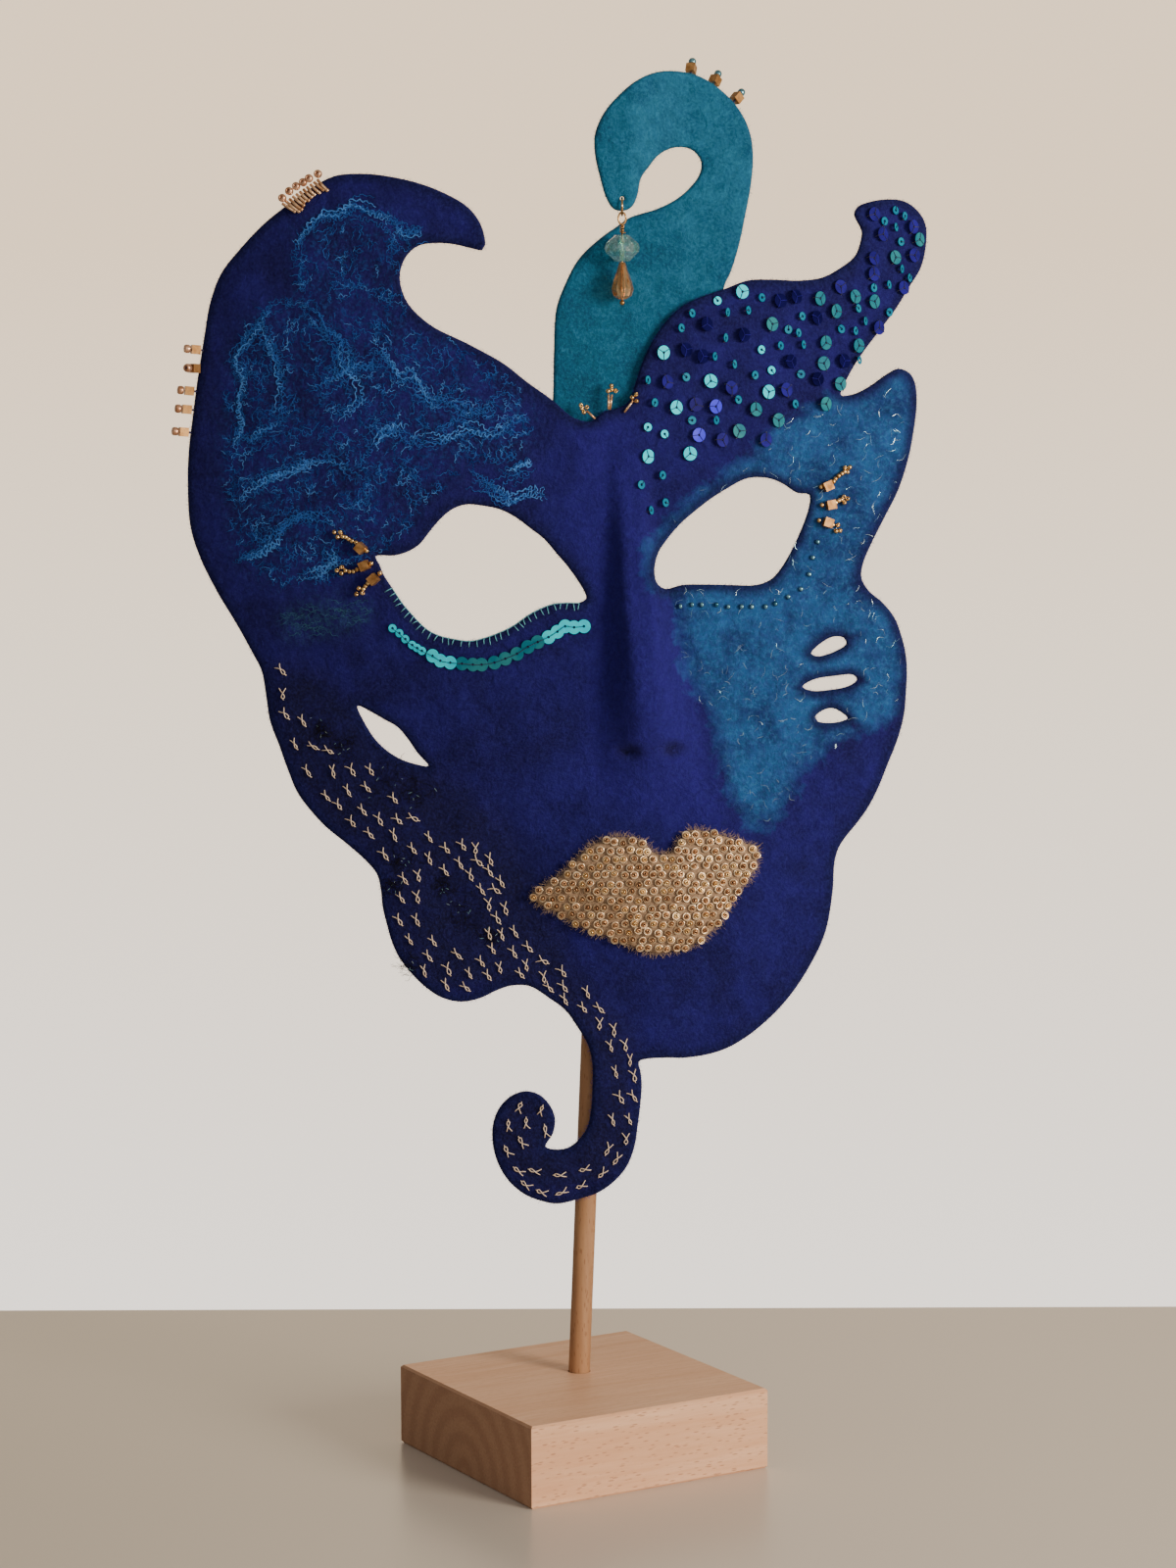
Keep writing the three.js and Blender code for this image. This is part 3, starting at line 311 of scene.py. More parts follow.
STRING_LARGE = [
    (442, 669), (450, 674), (460, 676), (472, 677), (483, 678), (492, 678), (505, 676), (516, 672),
    (528, 667), (539, 660), (549, 655), (560, 650), (569, 644.5), (577, 639), (586, 640), (596, 639),
]
CLEAR_SEEDS = [
    (694, 618.6), (706, 617), (716, 617), (731, 617), (743, 619), (756.5, 619), (767, 619),
    (781, 619), (791, 616), (804, 609), (817, 601), (825.5, 586), (829, 569), (834, 553),
]
BLANKET_EDGE = [
    (400, 600), (410, 615), (422, 629), (434, 641), (446.5, 648), (463, 652), (479, 654),
    (493.5, 651), (510, 645), (524, 638), (538, 628), (551, 621), (565, 616), (579, 615), (591, 615),
]
# Short strands at the eyes' outer corners: end seed, cube, seeds in between and the picot's three seeds
STRANDS = [
    ((375, 562), (370, 559), [(364.4, 553.5), (360.4, 552), (357, 550), (354, 548), (351, 547.5)],
     [(346, 548), (348.6, 543), (342.6, 543)]),
    ((379.6, 575), (374, 577), [(365.6, 581), (362, 583), (358, 583), (354, 582)],
     [(350, 585), (350, 578.5), (345, 582)]),
    ((388.5, 585), (383, 590.5), [(376.5, 595), (374, 598), (372, 601)],
     [(367.6, 600), (371, 605), (365, 606)]),
    ((837, 497), (843.6, 495.7),
     [(849.7, 491.6), (851.6, 488.7), (854.8, 485.8), (858, 483.6), (860.8, 481.7)],
     [(861, 477.5), (866, 477), (863.7, 481.7)]),
    ((838, 515.5), (846, 515), [(852, 513), (855, 511), (857.6, 510)],
     [(860, 507), (864, 509), (860.5, 513)]),
    ((835, 531), (843, 533), [(849, 535.6)], [(854, 536), (856, 541.6), (852, 542)]),
]
# Thin glass bugles on the brow: foot, tip and the gold seeds of the tip's picot
BROW_PINS = [
    ((607.5, 427.5), (599, 419.5), [(594, 417), (599, 416), (596, 421), (593, 413.5)]),
    ((621, 418), (621, 403), [(620.5, 399.5), (624, 394)]),
    ((622.5, 418), (624.5, 403), [(628, 399), (624, 398)]),
    ((637, 421), (646, 409), [(649, 403), (645, 406), (649.5, 409.5)]),
]
COMB_BEADS = [(291, 203), (298, 196), (305, 191), (312, 187), (318, 183), (327, 178.5)]
COMB_TUBE_ENDS = [
    (302, 216), (306, 216), (309, 214), (311, 210), (312, 206), (316, 205), (319, 201.5), (322, 199),
    (327, 197), (331, 194), (335, 194.6),
]
COMB_TUBE_STARTS = [(290 + i * 3.55, 208.5 - i * 2.45) for i in range(len(COMB_TUBE_ENDS))]


# Shape of the face, vectorised over arrays of x and z in millimetres

def on_mask(place):
    return mask_left + place[0] * MASK_WIDTH, mask_bottom + place[1] * MASK_HEIGHT


mask_bottom = BLOCK_TOP + MASK_LIFT
mask_left = MASK_LEFT * MASK_WIDTH
middle_x, middle_z = on_mask(MIDDLE_LINE)
nose_x, nose_z = on_mask(NOSE_TOP)
mouth_x, mouth_z = on_mask(MOUTH_MIDDLE)
neck_left, neck_bottom = on_mask(NECK_CORNER)


def smooth(low, high, value):
    share = np.clip((np.asarray(value, float) - low) / (high - low), 0, 1)
    return share * share * (3 - 2 * share)


def middle_line_x(z):
    return middle_x - (z - middle_z) * math.tan(FACE_TILT)


def bow(x, z):
    aside = (x - middle_line_x(z)) / (MASK_WIDTH / 2)
    above = (z - mask_bottom - BOW_MIDDLE * MASK_HEIGHT) / (MASK_HEIGHT / 2)
    return SIDE_BOW * aside ** 2 + np.where(above > 0, BROW_BOW, CHIN_BOW) * above ** 2


def dowel_x(z):
    return DOWEL_SIDE_SHIFT + (z - BLOCK_TOP) * math.tan(DOWEL_LEAN)


tail_back = DOWEL_SETBACK - DOWEL_DIAMETER / 2 - CLEARANCE
face_front = tail_back - FELT / math.cos(TAIL_LEAN) - float(bow(dowel_x(mask_bottom), mask_bottom))


def bowed(x, z):
    return face_front + bow(x, z)


def nose(x, z):
    dx, dz = x - nose_x, nose_z - z
    along = (dz * math.cos(NOSE_TILT) + dx * math.sin(NOSE_TILT)) / NOSE_LENGTH
    beside = np.abs(dx * math.cos(NOSE_TILT) - dz * math.sin(NOSE_TILT))
    rows = np.array(NOSE_SECTIONS)
    half = np.interp(along, rows[:, 0], rows[:, 1]) * NOSE_WIDTH / 2
    height = np.interp(along, rows[:, 0], rows[:, 2], left=0, right=0) * NOSE_HEIGHT
    ridge = NOSE_RIDGE_SHARE - 0.24 * smooth(0.45, 0.9, along)
    return height * (1 - smooth(ridge, 1, beside / half))


def mouth(x, z):
    dx = (x - mouth_x) / (LIPS_WIDTH * 0.75)
    dz = (z - mouth_z) / LIPS_HEIGHT
    return MOUTH_SWELL * (1 - smooth(0, 1, np.hypot(dx, dz)))


def waves(x, z, size, seed, count=9):
    """A smooth uneven height between about -1 and 1 with lumps of about that size."""
    maker = random.Random(seed)
    total = np.zeros(np.shape(x))
    for _ in range(count):
        turn = maker.uniform(0, math.pi)
        length = size * maker.uniform(1.4, 3.0)
        total = total + np.sin((x * math.cos(turn) + z * math.sin(turn)) * 2 * math.pi / length
                               + maker.uniform(0, 2 * math.pi))
    return total / math.sqrt(count)


def smooth_face(x, z):
    x, z = np.asarray(x, float), np.asarray(z, float)
    return bowed(x, z) - nose(x, z) - mouth(x, z)


def slope_of(face, x, z):
    reach = 0.8
    slope_x = (face(x + reach, z) - face(x - reach, z)) / (2 * reach)
    slope_z = (face(x, z + reach) - face(x, z - reach)) / (2 * reach)
    return slope_x, slope_z


def normals_of(face, x, z):
    """Unit vectors that stand on the surface towards the viewer."""
    slope_x, slope_z = slope_of(face, x, z)
    way = np.stack([slope_x, -np.ones_like(slope_x), slope_z], axis=-1)
    return way / np.linalg.norm(way, axis=-1, keepdims=True)


def lean_of(face, x, z):
    """How much thicker the felt measures along Y where the surface slopes."""
    slope_x, slope_z = slope_of(face, x, z)
    return np.minimum(np.sqrt(1 + slope_x ** 2 + slope_z ** 2), 1.5)


def neck_face(x, z):
    x, z = np.asarray(x, float), np.asarray(z, float)
    across = (x - neck_left) / NECK_WIDTH
    up = (z - neck_bottom) / NECK_HEIGHT
    line = BEAK_LINE_START[1] + (across - BEAK_LINE_START[0]) * BEAK_LINE_SLOPE
    bend = BEAK_FORWARD * smooth(-BEAK_BEND_HALF, BEAK_BEND_HALF, up - line)
    bend = bend * (1 - smooth(*BEAK_BEND_FADES, across))
    lean = lean_of(bowed, x, z)
    return bowed(x, z) + FELT * lean + CLEARANCE - bend + 0.12 * waves(x, z, 9, 21)


# From the photograph's pixels to the object

def camera_rays(pixels):
    pixels = np.asarray(pixels, float).reshape(-1, 2)
    across = pixels[:, 0] - PHOTO_MIDDLE[0]
    down = pixels[:, 1] - PHOTO_MIDDLE[1]
    u = across * math.cos(-ROLL) - down * math.sin(-ROLL)
    v = across * math.sin(-ROLL) + down * math.cos(-ROLL)
    ahead = np.array([0, math.cos(PITCH_DOWN), -math.sin(PITCH_DOWN)])
    upward = np.array([0, math.sin(PITCH_DOWN), math.cos(PITCH_DOWN)])
    right = np.array([1.0, 0, 0])
    return FOCAL_PIXELS * ahead + u[:, None] * right - v[:, None] * upward


def seen_on(face, pixels):
    """Points of a surface y = face(x, z) that the camera sees at these pixels."""
    rays = camera_rays(pixels)
    y = np.zeros(len(rays))
    for _ in range(14):
        points = CAMERA_PLACE + rays * ((y - CAMERA_PLACE[1]) / rays[:, 1])[:, None]
        y = 0.5 * y + 0.5 * face(points[:, 0], points[:, 2])
    points = CAMERA_PLACE + rays * ((y - CAMERA_PLACE[1]) / rays[:, 1])[:, None]
    points[:, 1] = face(points[:, 0], points[:, 2])
    return points


NOSTRILS = seen_on(smooth_face, [(642, 768), (686, 765)])
SLIT_FOLDS = [(seen_on(smooth_face, [spot])[0], half, math.radians(turn))
              for spot, half, turn in SLIT_HOLLOWS]


def dimple(x, z, spot, wide, high):
    """How deep a point lies in a round hollow, from 0 far outside to 1 in its middle."""
    return np.exp(-(((x - spot[0]) / wide) ** 2 + ((z - spot[2]) / high) ** 2))


def fold(x, z, middle, half, turn):
    """The same for the long narrow fold at a slit's end."""
    dx, dz = x - middle[0], z - middle[2]
    along = (dx * math.cos(turn) + dz * math.sin(turn)) / half
    beside = (-dx * math.sin(turn) + dz * math.cos(turn)) / FOLD_WIDTH
    return np.exp(-(along ** 2 + beside ** 2))


def felt_face(x, z):
    """The front of the felt with its unevenness, nostrils and the folds at the slits."""
    x, z = np.asarray(x, float), np.asarray(z, float)
    y = smooth_face(x, z) + 0.22 * waves(x, z, 10, 11) + 0.10 * waves(x, z, 4.2, 12, 14)
    for spot in NOSTRILS:
        y = y + NOSTRIL_DEPTH * dimple(x, z, spot, *NOSTRIL_SIZE)
    for place in SLIT_FOLDS:
        y = y + FOLD_DEPTH * fold(x, z, *place)
    return y


def on_felt(pixels, lift=0.0, face=felt_face):
    """Points of the felt at these pixels, lifted off it, and the directions that stand on it."""
    points = seen_on(face, pixels)
    ways = normals_of(smooth_face if face is felt_face else face, points[:, 0], points[:, 2])
    return points + ways * lift, ways


def on_skin(flat, lift):
    """Points of the felt above flat points, lifted off it, and the directions that stand on it."""
    x, z = flat[:, 0], flat[:, 1]
    way = normals_of(smooth_face, x, z)
    return np.stack([x, felt_face(x, z), z], axis=1) + way * lift, way


# Lines and meshes

def sideways(ways):
    """Unit vectors square to flat directions, to their left."""
    length = np.maximum(np.linalg.norm(ways, axis=1), 1e-9)
    return np.stack([-ways[:, 1], ways[:, 0]], axis=1) / length[:, None]


def round_ways(loop):
    """The flat directions in which a closed loop runs on at its points."""
    return np.roll(loop, -1, axis=0) - np.roll(loop, 1, axis=0)


def between(t, start, end, first, last):
    """The point at t on the way from the first at start to the last at end."""
    return (end - t) / (end - start) * first + (t - start) / (end - start) * last


def smooth_line(points, step, closed=True):
    """A centripetal Catmull-Rom line through points, sampled about every step."""
    points = np.asarray(points, float)
    if closed:
        ring = np.vstack([points[-1], points, points[:2]])
    else:
        ring = np.vstack([2 * points[0] - points[1], points, 2 * points[-1] - points[-2]])
    out = []
    for a, b, c, d in zip(ring, ring[1:], ring[2:], ring[3:]):
        spans = [max(np.linalg.norm(q - p), 1e-6) ** 0.5 for p, q in ((a, b), (b, c), (c, d))]
        k0, k1, k2, k3 = np.cumsum([0.0] + spans)
        count = max(1, round(float(np.linalg.norm(c - b)) / step))
        t = np.linspace(k1, k2, count, endpoint=False)[:, None]
        low, mid, high = between(t, k0, k1, a, b), between(t, k1, k2, b, c), between(t, k2, k3, c, d)
        out.append(between(t, k1, k2, between(t, k0, k2, low, mid), between(t, k1, k3, mid, high)))
    if not closed:
        out.append(points[-1:])
    return np.vstack(out)


def inside(points, loops):
    """Which flat points lie inside the loops, counting crossings."""
    starts = np.vstack(loops)
    ends = np.vstack([np.roll(loop, -1, axis=0) for loop in loops])
    result = np.zeros(len(points), bool)
    rise = np.where(ends[:, 1] == starts[:, 1], 1e-12, ends[:, 1] - starts[:, 1])
    for first in range(0, len(points), 2000):
        x = points[first:first + 2000, 0:1]
        z = points[first:first + 2000, 1:2]
        spans = (starts[:, 1] > z) != (ends[:, 1] > z)
        cross = starts[:, 0] + (z - starts[:, 1]) / rise * (ends[:, 0] - starts[:, 0])
        result[first:first + 2000] = (np.sum(spans & (x < cross), axis=1) % 2) == 1
    return result


def edge_distance(points, loops):
    """How far flat points lie from the nearest loop."""
    dense = np.vstack([smooth_line(loop, 0.5) for loop in loops])
    tree = kdtree.KDTree(len(dense))
    for i, (x, z) in enumerate(dense):
        tree.insert((x, z, 0), i)
    tree.balance()
    return np.array([tree.find((x, z, 0))[2] for x, z in points])


def new_object(name, data):
    made = bpy.data.objects.new(name, data)
    bpy.context.scene.collection.objects.link(made)
    return made


def new_mesh(name, verts, faces, materials, body, smooth_shade=True, slots=None, areas=None):
    """A mesh object from points in millimetres that rides on a body."""
    data = bpy.data.meshes.new(name)
    data.from_pydata([tuple(v) for v in np.asarray(verts) * MM], [], faces)
    for finish in materials:
        data.materials.append(finish)
    if slots is not None:
        data.polygons.foreach_set("material_index", slots)
    data.polygons.foreach_set("use_smooth", [smooth_shade] * len(data.polygons))
    for label, values in (areas or {}).items():
        layer = data.color_attributes.new(label, "FLOAT_COLOR", "POINT")
        layer.data.foreach_set("color", np.asarray(values, float).reshape(-1))
    data.update()
    piece = new_object(name, data)
    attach(piece, body)
    return piece


def filling(loops, spacing, rounding):
    """Flat points and triangles that fill loops, with rings of points where the felt's edge rounds off."""
    edges = []
    start = 0
    for loop in loops:
        edges += [(start + i, start + (i + 1) % len(loop)) for i in range(len(loop))]
        start += len(loop)
    rim = np.vstack(loops)
    rings = []
    for share in (0.16, 0.5, 1.0):
        reach = rounding * share
        for loop in loops:
            side = sideways(round_ways(loop))
            for sign in (-1, 1):
                ring = loop + sign * side * reach
                ring = ring[inside(ring, loops)]
                if len(ring):
                    rings.append(ring[edge_distance(ring, loops) > reach * 0.9])
    low, high = rim.min(axis=0), rim.max(axis=0)
    grid = []
    for i, z in enumerate(np.arange(low[1], high[1], spacing * 0.866)):
        row = np.arange(low[0] + (i % 2) * spacing / 2, high[0], spacing)
        grid.append(np.stack([row, np.full(len(row), z)], axis=1))
    grid = np.vstack(grid)
    grid = grid[inside(grid, loops)]
    grid = grid[edge_distance(grid, loops) > rounding + spacing * 0.55]
    result = geometry.delaunay_2d_cdt([Vector(p) for p in np.vstack([rim] + rings + [grid])], edges, [], 2, 1e-4)
    flat = np.array([tuple(v) for v in result[0]])
    faces = [tuple(f) for f in result[2]]
    kept = inside(np.array([flat[list(f)].mean(axis=0) for f in faces]), loops)
    faces = [f for f, keep in zip(faces, kept) if keep]
    used = sorted({i for f in faces for i in f})
    renumber = {old: new for new, old in enumerate(used)}
    return flat[used], [tuple(renumber[i] for i in f) for f in faces]


def felt_sheet(name, outline, holes, face, thickness, spacing, rounding, finish, areas_of=None):
    """A closed sheet of felt with soft rounded edges over a front surface."""
    loops = [smooth_line(loop, spacing * 0.72) for loop in [outline] + holes]
    flat, faces = filling(loops, spacing, rounding)
    away = edge_distance(flat, loops)
    away = np.where(away < 0.08, 0, away)
    x, z = flat[:, 0], flat[:, 1]
    roundness = np.sqrt(np.clip(1 - (1 - np.clip(away / rounding, 0, 1)) ** 2, 0, 1))
    half = thickness / 2 * lean_of(face, x, z)
    middle = face(x, z) + half
    on_rim = away == 0
    front = np.stack([x, middle - half * roundness, z], axis=1)
    back = np.stack([x, middle + half * roundness, z], axis=1)
    count = len(flat)
    back_index = np.arange(count)
    back_index[~on_rim] = count + np.arange(np.sum(~on_rim))
    verts = np.vstack([front, back[~on_rim]])
    whole = []
    for f in faces:
        a, b, c = flat[f[0]], flat[f[1]], flat[f[2]]
        turn = (b[0] - a[0]) * (c[1] - a[1]) - (b[1] - a[1]) * (c[0] - a[0])
        f = f if turn > 0 else f[::-1]
        whole.append(f)
        behind = tuple(int(back_index[i]) for i in reversed(f))
        if set(behind) != set(f):
            whole.append(behind)
    areas = None
    if areas_of:
        both = np.concatenate([np.arange(count), np.arange(count)[~on_rim]])
        areas = {label: values[both] for label, values in areas_of(flat, away).items()}
    return new_mesh(name, verts, whole, [finish], "mask", areas=areas)


class Trimmings:
    """Many small pieces gathered in one mesh."""

    def __init__(self):
        self.verts, self.faces, self.slots, self.count = [], [], [], 0

    def add(self, shape, middle=(0, 0, 0), axes=None, size=1.0, slot=0):
        verts, faces = shape
        verts = np.asarray(verts, float) * size
        if axes is not None:
            verts = verts @ np.asarray(axes)
        self.verts.append(verts + np.asarray(middle))
        self.faces += [tuple(i + self.count for i in f) for f in faces]
        self.slots += [slot] * len(faces)
        self.count += len(verts)

    def make(self, name, materials, body="mask", smooth_shade=True):
        return new_mesh(name, np.vstack(self.verts), self.faces, materials, body, smooth_shade, self.slots)


def axes_along(way, turn=0.0):
    """Three unit rows: two sideways directions, turned about the third, which is the given one."""
    way = np.asarray(way, float) / np.linalg.norm(way)
    helper = np.array([0, 0, 1.0]) if abs(way[2]) < 0.9 else np.array([1.0, 0, 0])
    side = np.cross(helper, way)
    side = side / np.linalg.norm(side)
    other = np.cross(way, side)
    first = side * math.cos(turn) + other * math.sin(turn)
    second = other * math.cos(turn) - side * math.sin(turn)
    return np.array([first, second, way])


def turned(profile, sides, closed=True):
    """A shape turned about its third axis from rows of radius and height, round a closed profile."""
    angles = np.arange(sides) * 2 * math.pi / sides
    verts = [(r * math.cos(t), r * math.sin(t), h) for r, h in profile for t in angles]
    faces = []
    rows = len(profile)
    for i in range(rows if closed else rows - 1):
        for j in range(sides):
            a, b = i * sides + j, i * sides + (j + 1) % sides
            c, d = ((i + 1) % rows) * sides + (j + 1) % sides, ((i + 1) % rows) * sides + j
            faces.append((a, b, c, d))
    return verts, faces


def seed_bead(diameter, sides=14):
    """A short glass seed bead with a hole, as a rounded ring."""
    r, hole, half = diameter / 2, diameter * 0.17, diameter * 0.36
    rows = [(hole, -half * 0.6), (hole * 1.5, -half), (r * 0.8, -half), (r, -half * 0.45),
            (r, half * 0.45), (r * 0.8, half), (hole * 1.5, half), (hole, half * 0.6)]
    return turned(rows, sides)


def flat_sequin(diameter, hole=0.5, sides=22):
    """A punched disc of film with a hole in its middle."""
    film = 0.13
    rows = [(hole, 0), (diameter / 2, 0), (diameter / 2, film), (hole, film)]
    return turned(rows, sides)


def cup_sequin(diameter):
    """A pressed sequin: a shallow cup of film with a hole in its middle."""
    r, hole = diameter / 2, 0.32
    rows = [(hole, 0), (r * 0.5, 0.02), (r * 0.78, 0.26), (r, 0.52), (r * 1.02, 0.60),
            (r * 0.74, 0.34), (r * 0.46, 0.10), (hole, 0.09)]
    return turned(rows, 14)


def thread(points, diameter, sides=6):
    """A round thread along points, with its ends closed."""
    points = np.asarray(points, float)
    ways = np.gradient(points, axis=0)
    ways = ways / np.linalg.norm(ways, axis=1)[:, None]
    side = np.cross(ways[0], [0.31, 0.83, 0.46])
    verts, faces = [], []
    for point, way in zip(points, ways):
        side = side - way * np.dot(side, way)
        side = side / np.linalg.norm(side)
        other = np.cross(way, side)
        for j in range(sides):
            t = 2 * math.pi * j / sides
            verts.append(point + (side * math.cos(t) + other * math.sin(t)) * diameter / 2)
    for i in range(len(points) - 1):
        for j in range(sides):
            a, b = i * sides + j, i * sides + (j + 1) % sides
            faces.append((a, b, b + sides, a + sides))
    faces.append(tuple(reversed(range(sides))))
    faces.append(tuple(range((len(points) - 1) * sides, len(points) * sides)))
    return verts, faces


def fibre(points, width, way):
    """A flat fibre along points, facing a direction, that thins towards both ends."""
    points = np.asarray(points, float)
    ways = np.gradient(points, axis=0)
    side = np.cross(ways, way)
    side = side / np.maximum(np.linalg.norm(side, axis=1), 1e-9)[:, None]
    share = np.linspace(0, 1, len(points))
    half = width / 2 * (0.35 + 0.65 * np.sin(math.pi * np.clip(share, 0.04, 0.96)))[:, None]
    verts = np.vstack([points - side * half, points + side * half])
    count = len(points)
    return verts, [(i, i + 1, count + i + 1, count + i) for i in range(count - 1)]


# Materials

def colour(hex_code):
    """An sRGB hex value as linear light."""
    parts = [int(hex_code[i:i + 2], 16) / 255 for i in (1, 3, 5)]
    return [p / 12.92 if p <= 0.04045 else ((p + 0.055) / 1.055) ** 2.4 for p in parts] + [1.0]


def add_node(tree, kind, settings=None, links=None):
    """Adds a node, sets its properties or sockets by name, and links its inputs."""
    made = tree.nodes.new(kind)
    for name, value in (settings or {}).items():
        if hasattr(made, name) and name not in made.inputs:
            setattr(made, name, value)
        else:
            made.inputs[name].default_value = value
    for name, source in (links or {}).items():
        tree.links.new(source, made.inputs[name])
    return made


def start_material(name, settings):
    """A material whose shader has these constant sockets; returns it, its tree and its shader."""
    made = bpy.data.materials.new(name)
    made.use_nodes = True
    tree = made.node_tree
    shader = tree.nodes["Principled BSDF"]
    for socket, value in settings.items():
        shader.inputs[socket].default_value = value
    return made, tree, shader


def blended(tree, share, first, second):
    """Two colours or colour sockets mixed by a share."""
    made = add_node(tree, "ShaderNodeMix", {"data_type": "RGBA"})
    ends = [socket for socket in made.inputs if socket.type == "RGBA"]
    for socket, value in zip(ends, (first, second)):
        if isinstance(value, str):
            socket.default_value = colour(value)
        else:
            tree.links.new(value, socket)
    factor = made.inputs[0]
    if isinstance(share, (int, float)):
        factor.default_value = share
    else:
        tree.links.new(share, factor)
    return next(socket for socket in made.outputs if socket.type == "RGBA")


def ranged(tree, value, low, high, to_low=0.0, to_high=1.0):
    """A value stretched from one range to another, and clipped."""
    ends = {"From Min": low, "From Max": high, "To Min": to_low, "To Max": to_high}
    return add_node(tree, "ShaderNodeMapRange", ends, {"Value": value}).outputs[0]


def noise_at(tree, place, size_mm, detail, roughness, distortion=0.0):
    """Noise with features of a real size."""
    settings = {"Scale": 1 / (size_mm * MM), "Detail": detail, "Roughness": roughness, "Distortion": distortion}
    return add_node(tree, "ShaderNodeTexNoise", settings, {"Vector": place}).outputs[0]


def math_of(tree, kind, first, second):
    made = add_node(tree, "ShaderNodeMath", {"operation": kind})
    for socket, value in zip(made.inputs, (first, second)):
        if isinstance(value, (int, float)):
            socket.default_value = value
        else:
            tree.links.new(value, socket)
    return made.outputs[0]


def two_toned(tree, shader, patch, low, high, first, second):
    """Colours a shader with one colour that turns into another over a range of a pattern."""
    tree.links.new(blended(tree, ranged(tree, patch, low, high), first, second), shader.inputs["Base Color"])


def rough_up(tree, shader, height, strength, depth_mm):
    """Bumps of a real depth."""
    bump = add_node(tree, "ShaderNodeBump", {"Strength": strength, "Distance": depth_mm * MM}, {"Height": height})
    tree.links.new(bump.outputs[0], shader.inputs["Normal"])


def painted_areas(tree, label):
    """The three shares, of laid colour, painted shade and painted light, that felt_sheet stores in one layer of the
    mesh.
    """
    layer = add_node(tree, "ShaderNodeAttribute", {"attribute_name": label}).outputs["Color"]
    return add_node(tree, "ShaderNodeSeparateColor", {}, {"Color": layer}).outputs


def part_of(tree, vector, axis):
    return add_node(tree, "ShaderNodeSeparateXYZ", {}, {"Vector": vector}).outputs[axis]


def wool_surface(tree, shader, place, base, lighter, fuzz_share=0.5):
    """Matted fibres: fine light and dark flecks a millimetre across, soft pilling and a fuzzy bump."""
    fine = noise_at(tree, place, 1.0, 5, 0.72)
    pill = noise_at(tree, place, 3.4, 3, 0.6, 0.6)
    flecks = ranged(tree, fine, 0.42, 0.72, 0.0, fuzz_share)
    hue = blended(tree, flecks, base, lighter)
    shade = ranged(tree, pill, 0.3, 0.7, 0.80, 1.12)
    value = add_node(tree, "ShaderNodeHueSaturation", {}, {"Color": hue, "Value": shade})
    tree.links.new(value.outputs[0], shader.inputs["Base Color"])
    height = math_of(tree, "ADD", math_of(tree, "MULTIPLY", fine, 0.6), math_of(tree, "MULTIPLY", pill, 1.0))
    rough_up(tree, shader, height, 0.9, 0.88)


def object_place(tree):
    return add_node(tree, "ShaderNodeTexCoord").outputs["Object"]


WOOL = {"Roughness": 0.92, "Sheen Weight": 0.08, "Sheen Roughness": 0.55, "Specular IOR Level": 0.12}


def ultramarine_wool():
    """Wet-felted merino, dyed ultramarine, with cerulean tops laid over the cheek, curly pale wool hazed in
    the forehead and a charcoal veil on the lower cheek: matt and mottled, with painted shade in the nostrils, in
    the folds at the slits and along the cut edges, and painted light on the nose and its right side."""
    made, tree, shader = start_material("ultramarine_merino_felt", dict(WOOL, **{"Sheen Tint": colour("#5b6be0")}))
    place = object_place(tree)
    cerulean, haze, dark = painted_areas(tree, "zones")
    nose_light, green, rim = painted_areas(tree, "tints")
    broad = noise_at(tree, place, 16, 3, 0.6)
    wisps = noise_at(tree, place, 5.5, 4, 0.65, 1.0)
    fine = noise_at(tree, place, 1.6, 4, 0.7, 0.5)
    base = blended(tree, ranged(tree, broad, 0.35, 0.65), "#161149", "#1f1864")
    # Painted light: the nose and its right side turn a lighter purple where they face the lamp.
    base = blended(tree, math_of(tree, "MULTIPLY", nose_light, 0.85), base, "#241a70")
    # The charcoal veil, with painted shade in the nostrils and in the folds at the slits.
    veil_and_shade_mix = math_of(tree, "MULTIPLY", dark, ranged(tree, wisps, 0.30, 0.62, 0.55, 0.95))
    base = blended(tree, veil_and_shade_mix, base, "#15132c")
    stray = math_of(tree, "MULTIPLY", math_of(tree, "SUBTRACT", wisps, 0.5), 1.1)
    patchy = math_of(tree, "MULTIPLY", math_of(tree, "SUBTRACT", broad, 0.5), 0.7)
    laid = ranged(tree, math_of(tree, "ADD", cerulean, math_of(tree, "ADD", stray, patchy)), 0.34, 1.05)
    sky = blended(tree, ranged(tree, broad, 0.36, 0.64), "#143c6c", "#245c96")
    sky = blended(tree, ranged(tree, fine, 0.48, 0.72, 0.0, 0.6), sky, "#3e80b6")
    base = blended(tree, math_of(tree, "MULTIPLY", laid, 0.95), base, sky)
    veil = math_of(tree, "MULTIPLY", haze, ranged(tree, fine, 0.50, 0.72, 0.0, 0.62))
    base = blended(tree, veil, base, "#28549c")
    moss = math_of(tree, "MULTIPLY", green, ranged(tree, fine, 0.42, 0.7, 0.0, 0.6))
    base = blended(tree, moss, base, "#2c566e")
    # Painted shade: a darker band along the cut edges.
    base = blended(tree, math_of(tree, "MULTIPLY", rim, 0.85), base, "#10103c")
    wool_surface(tree, shader, place, base, "#383f94", 0.30)
    return made


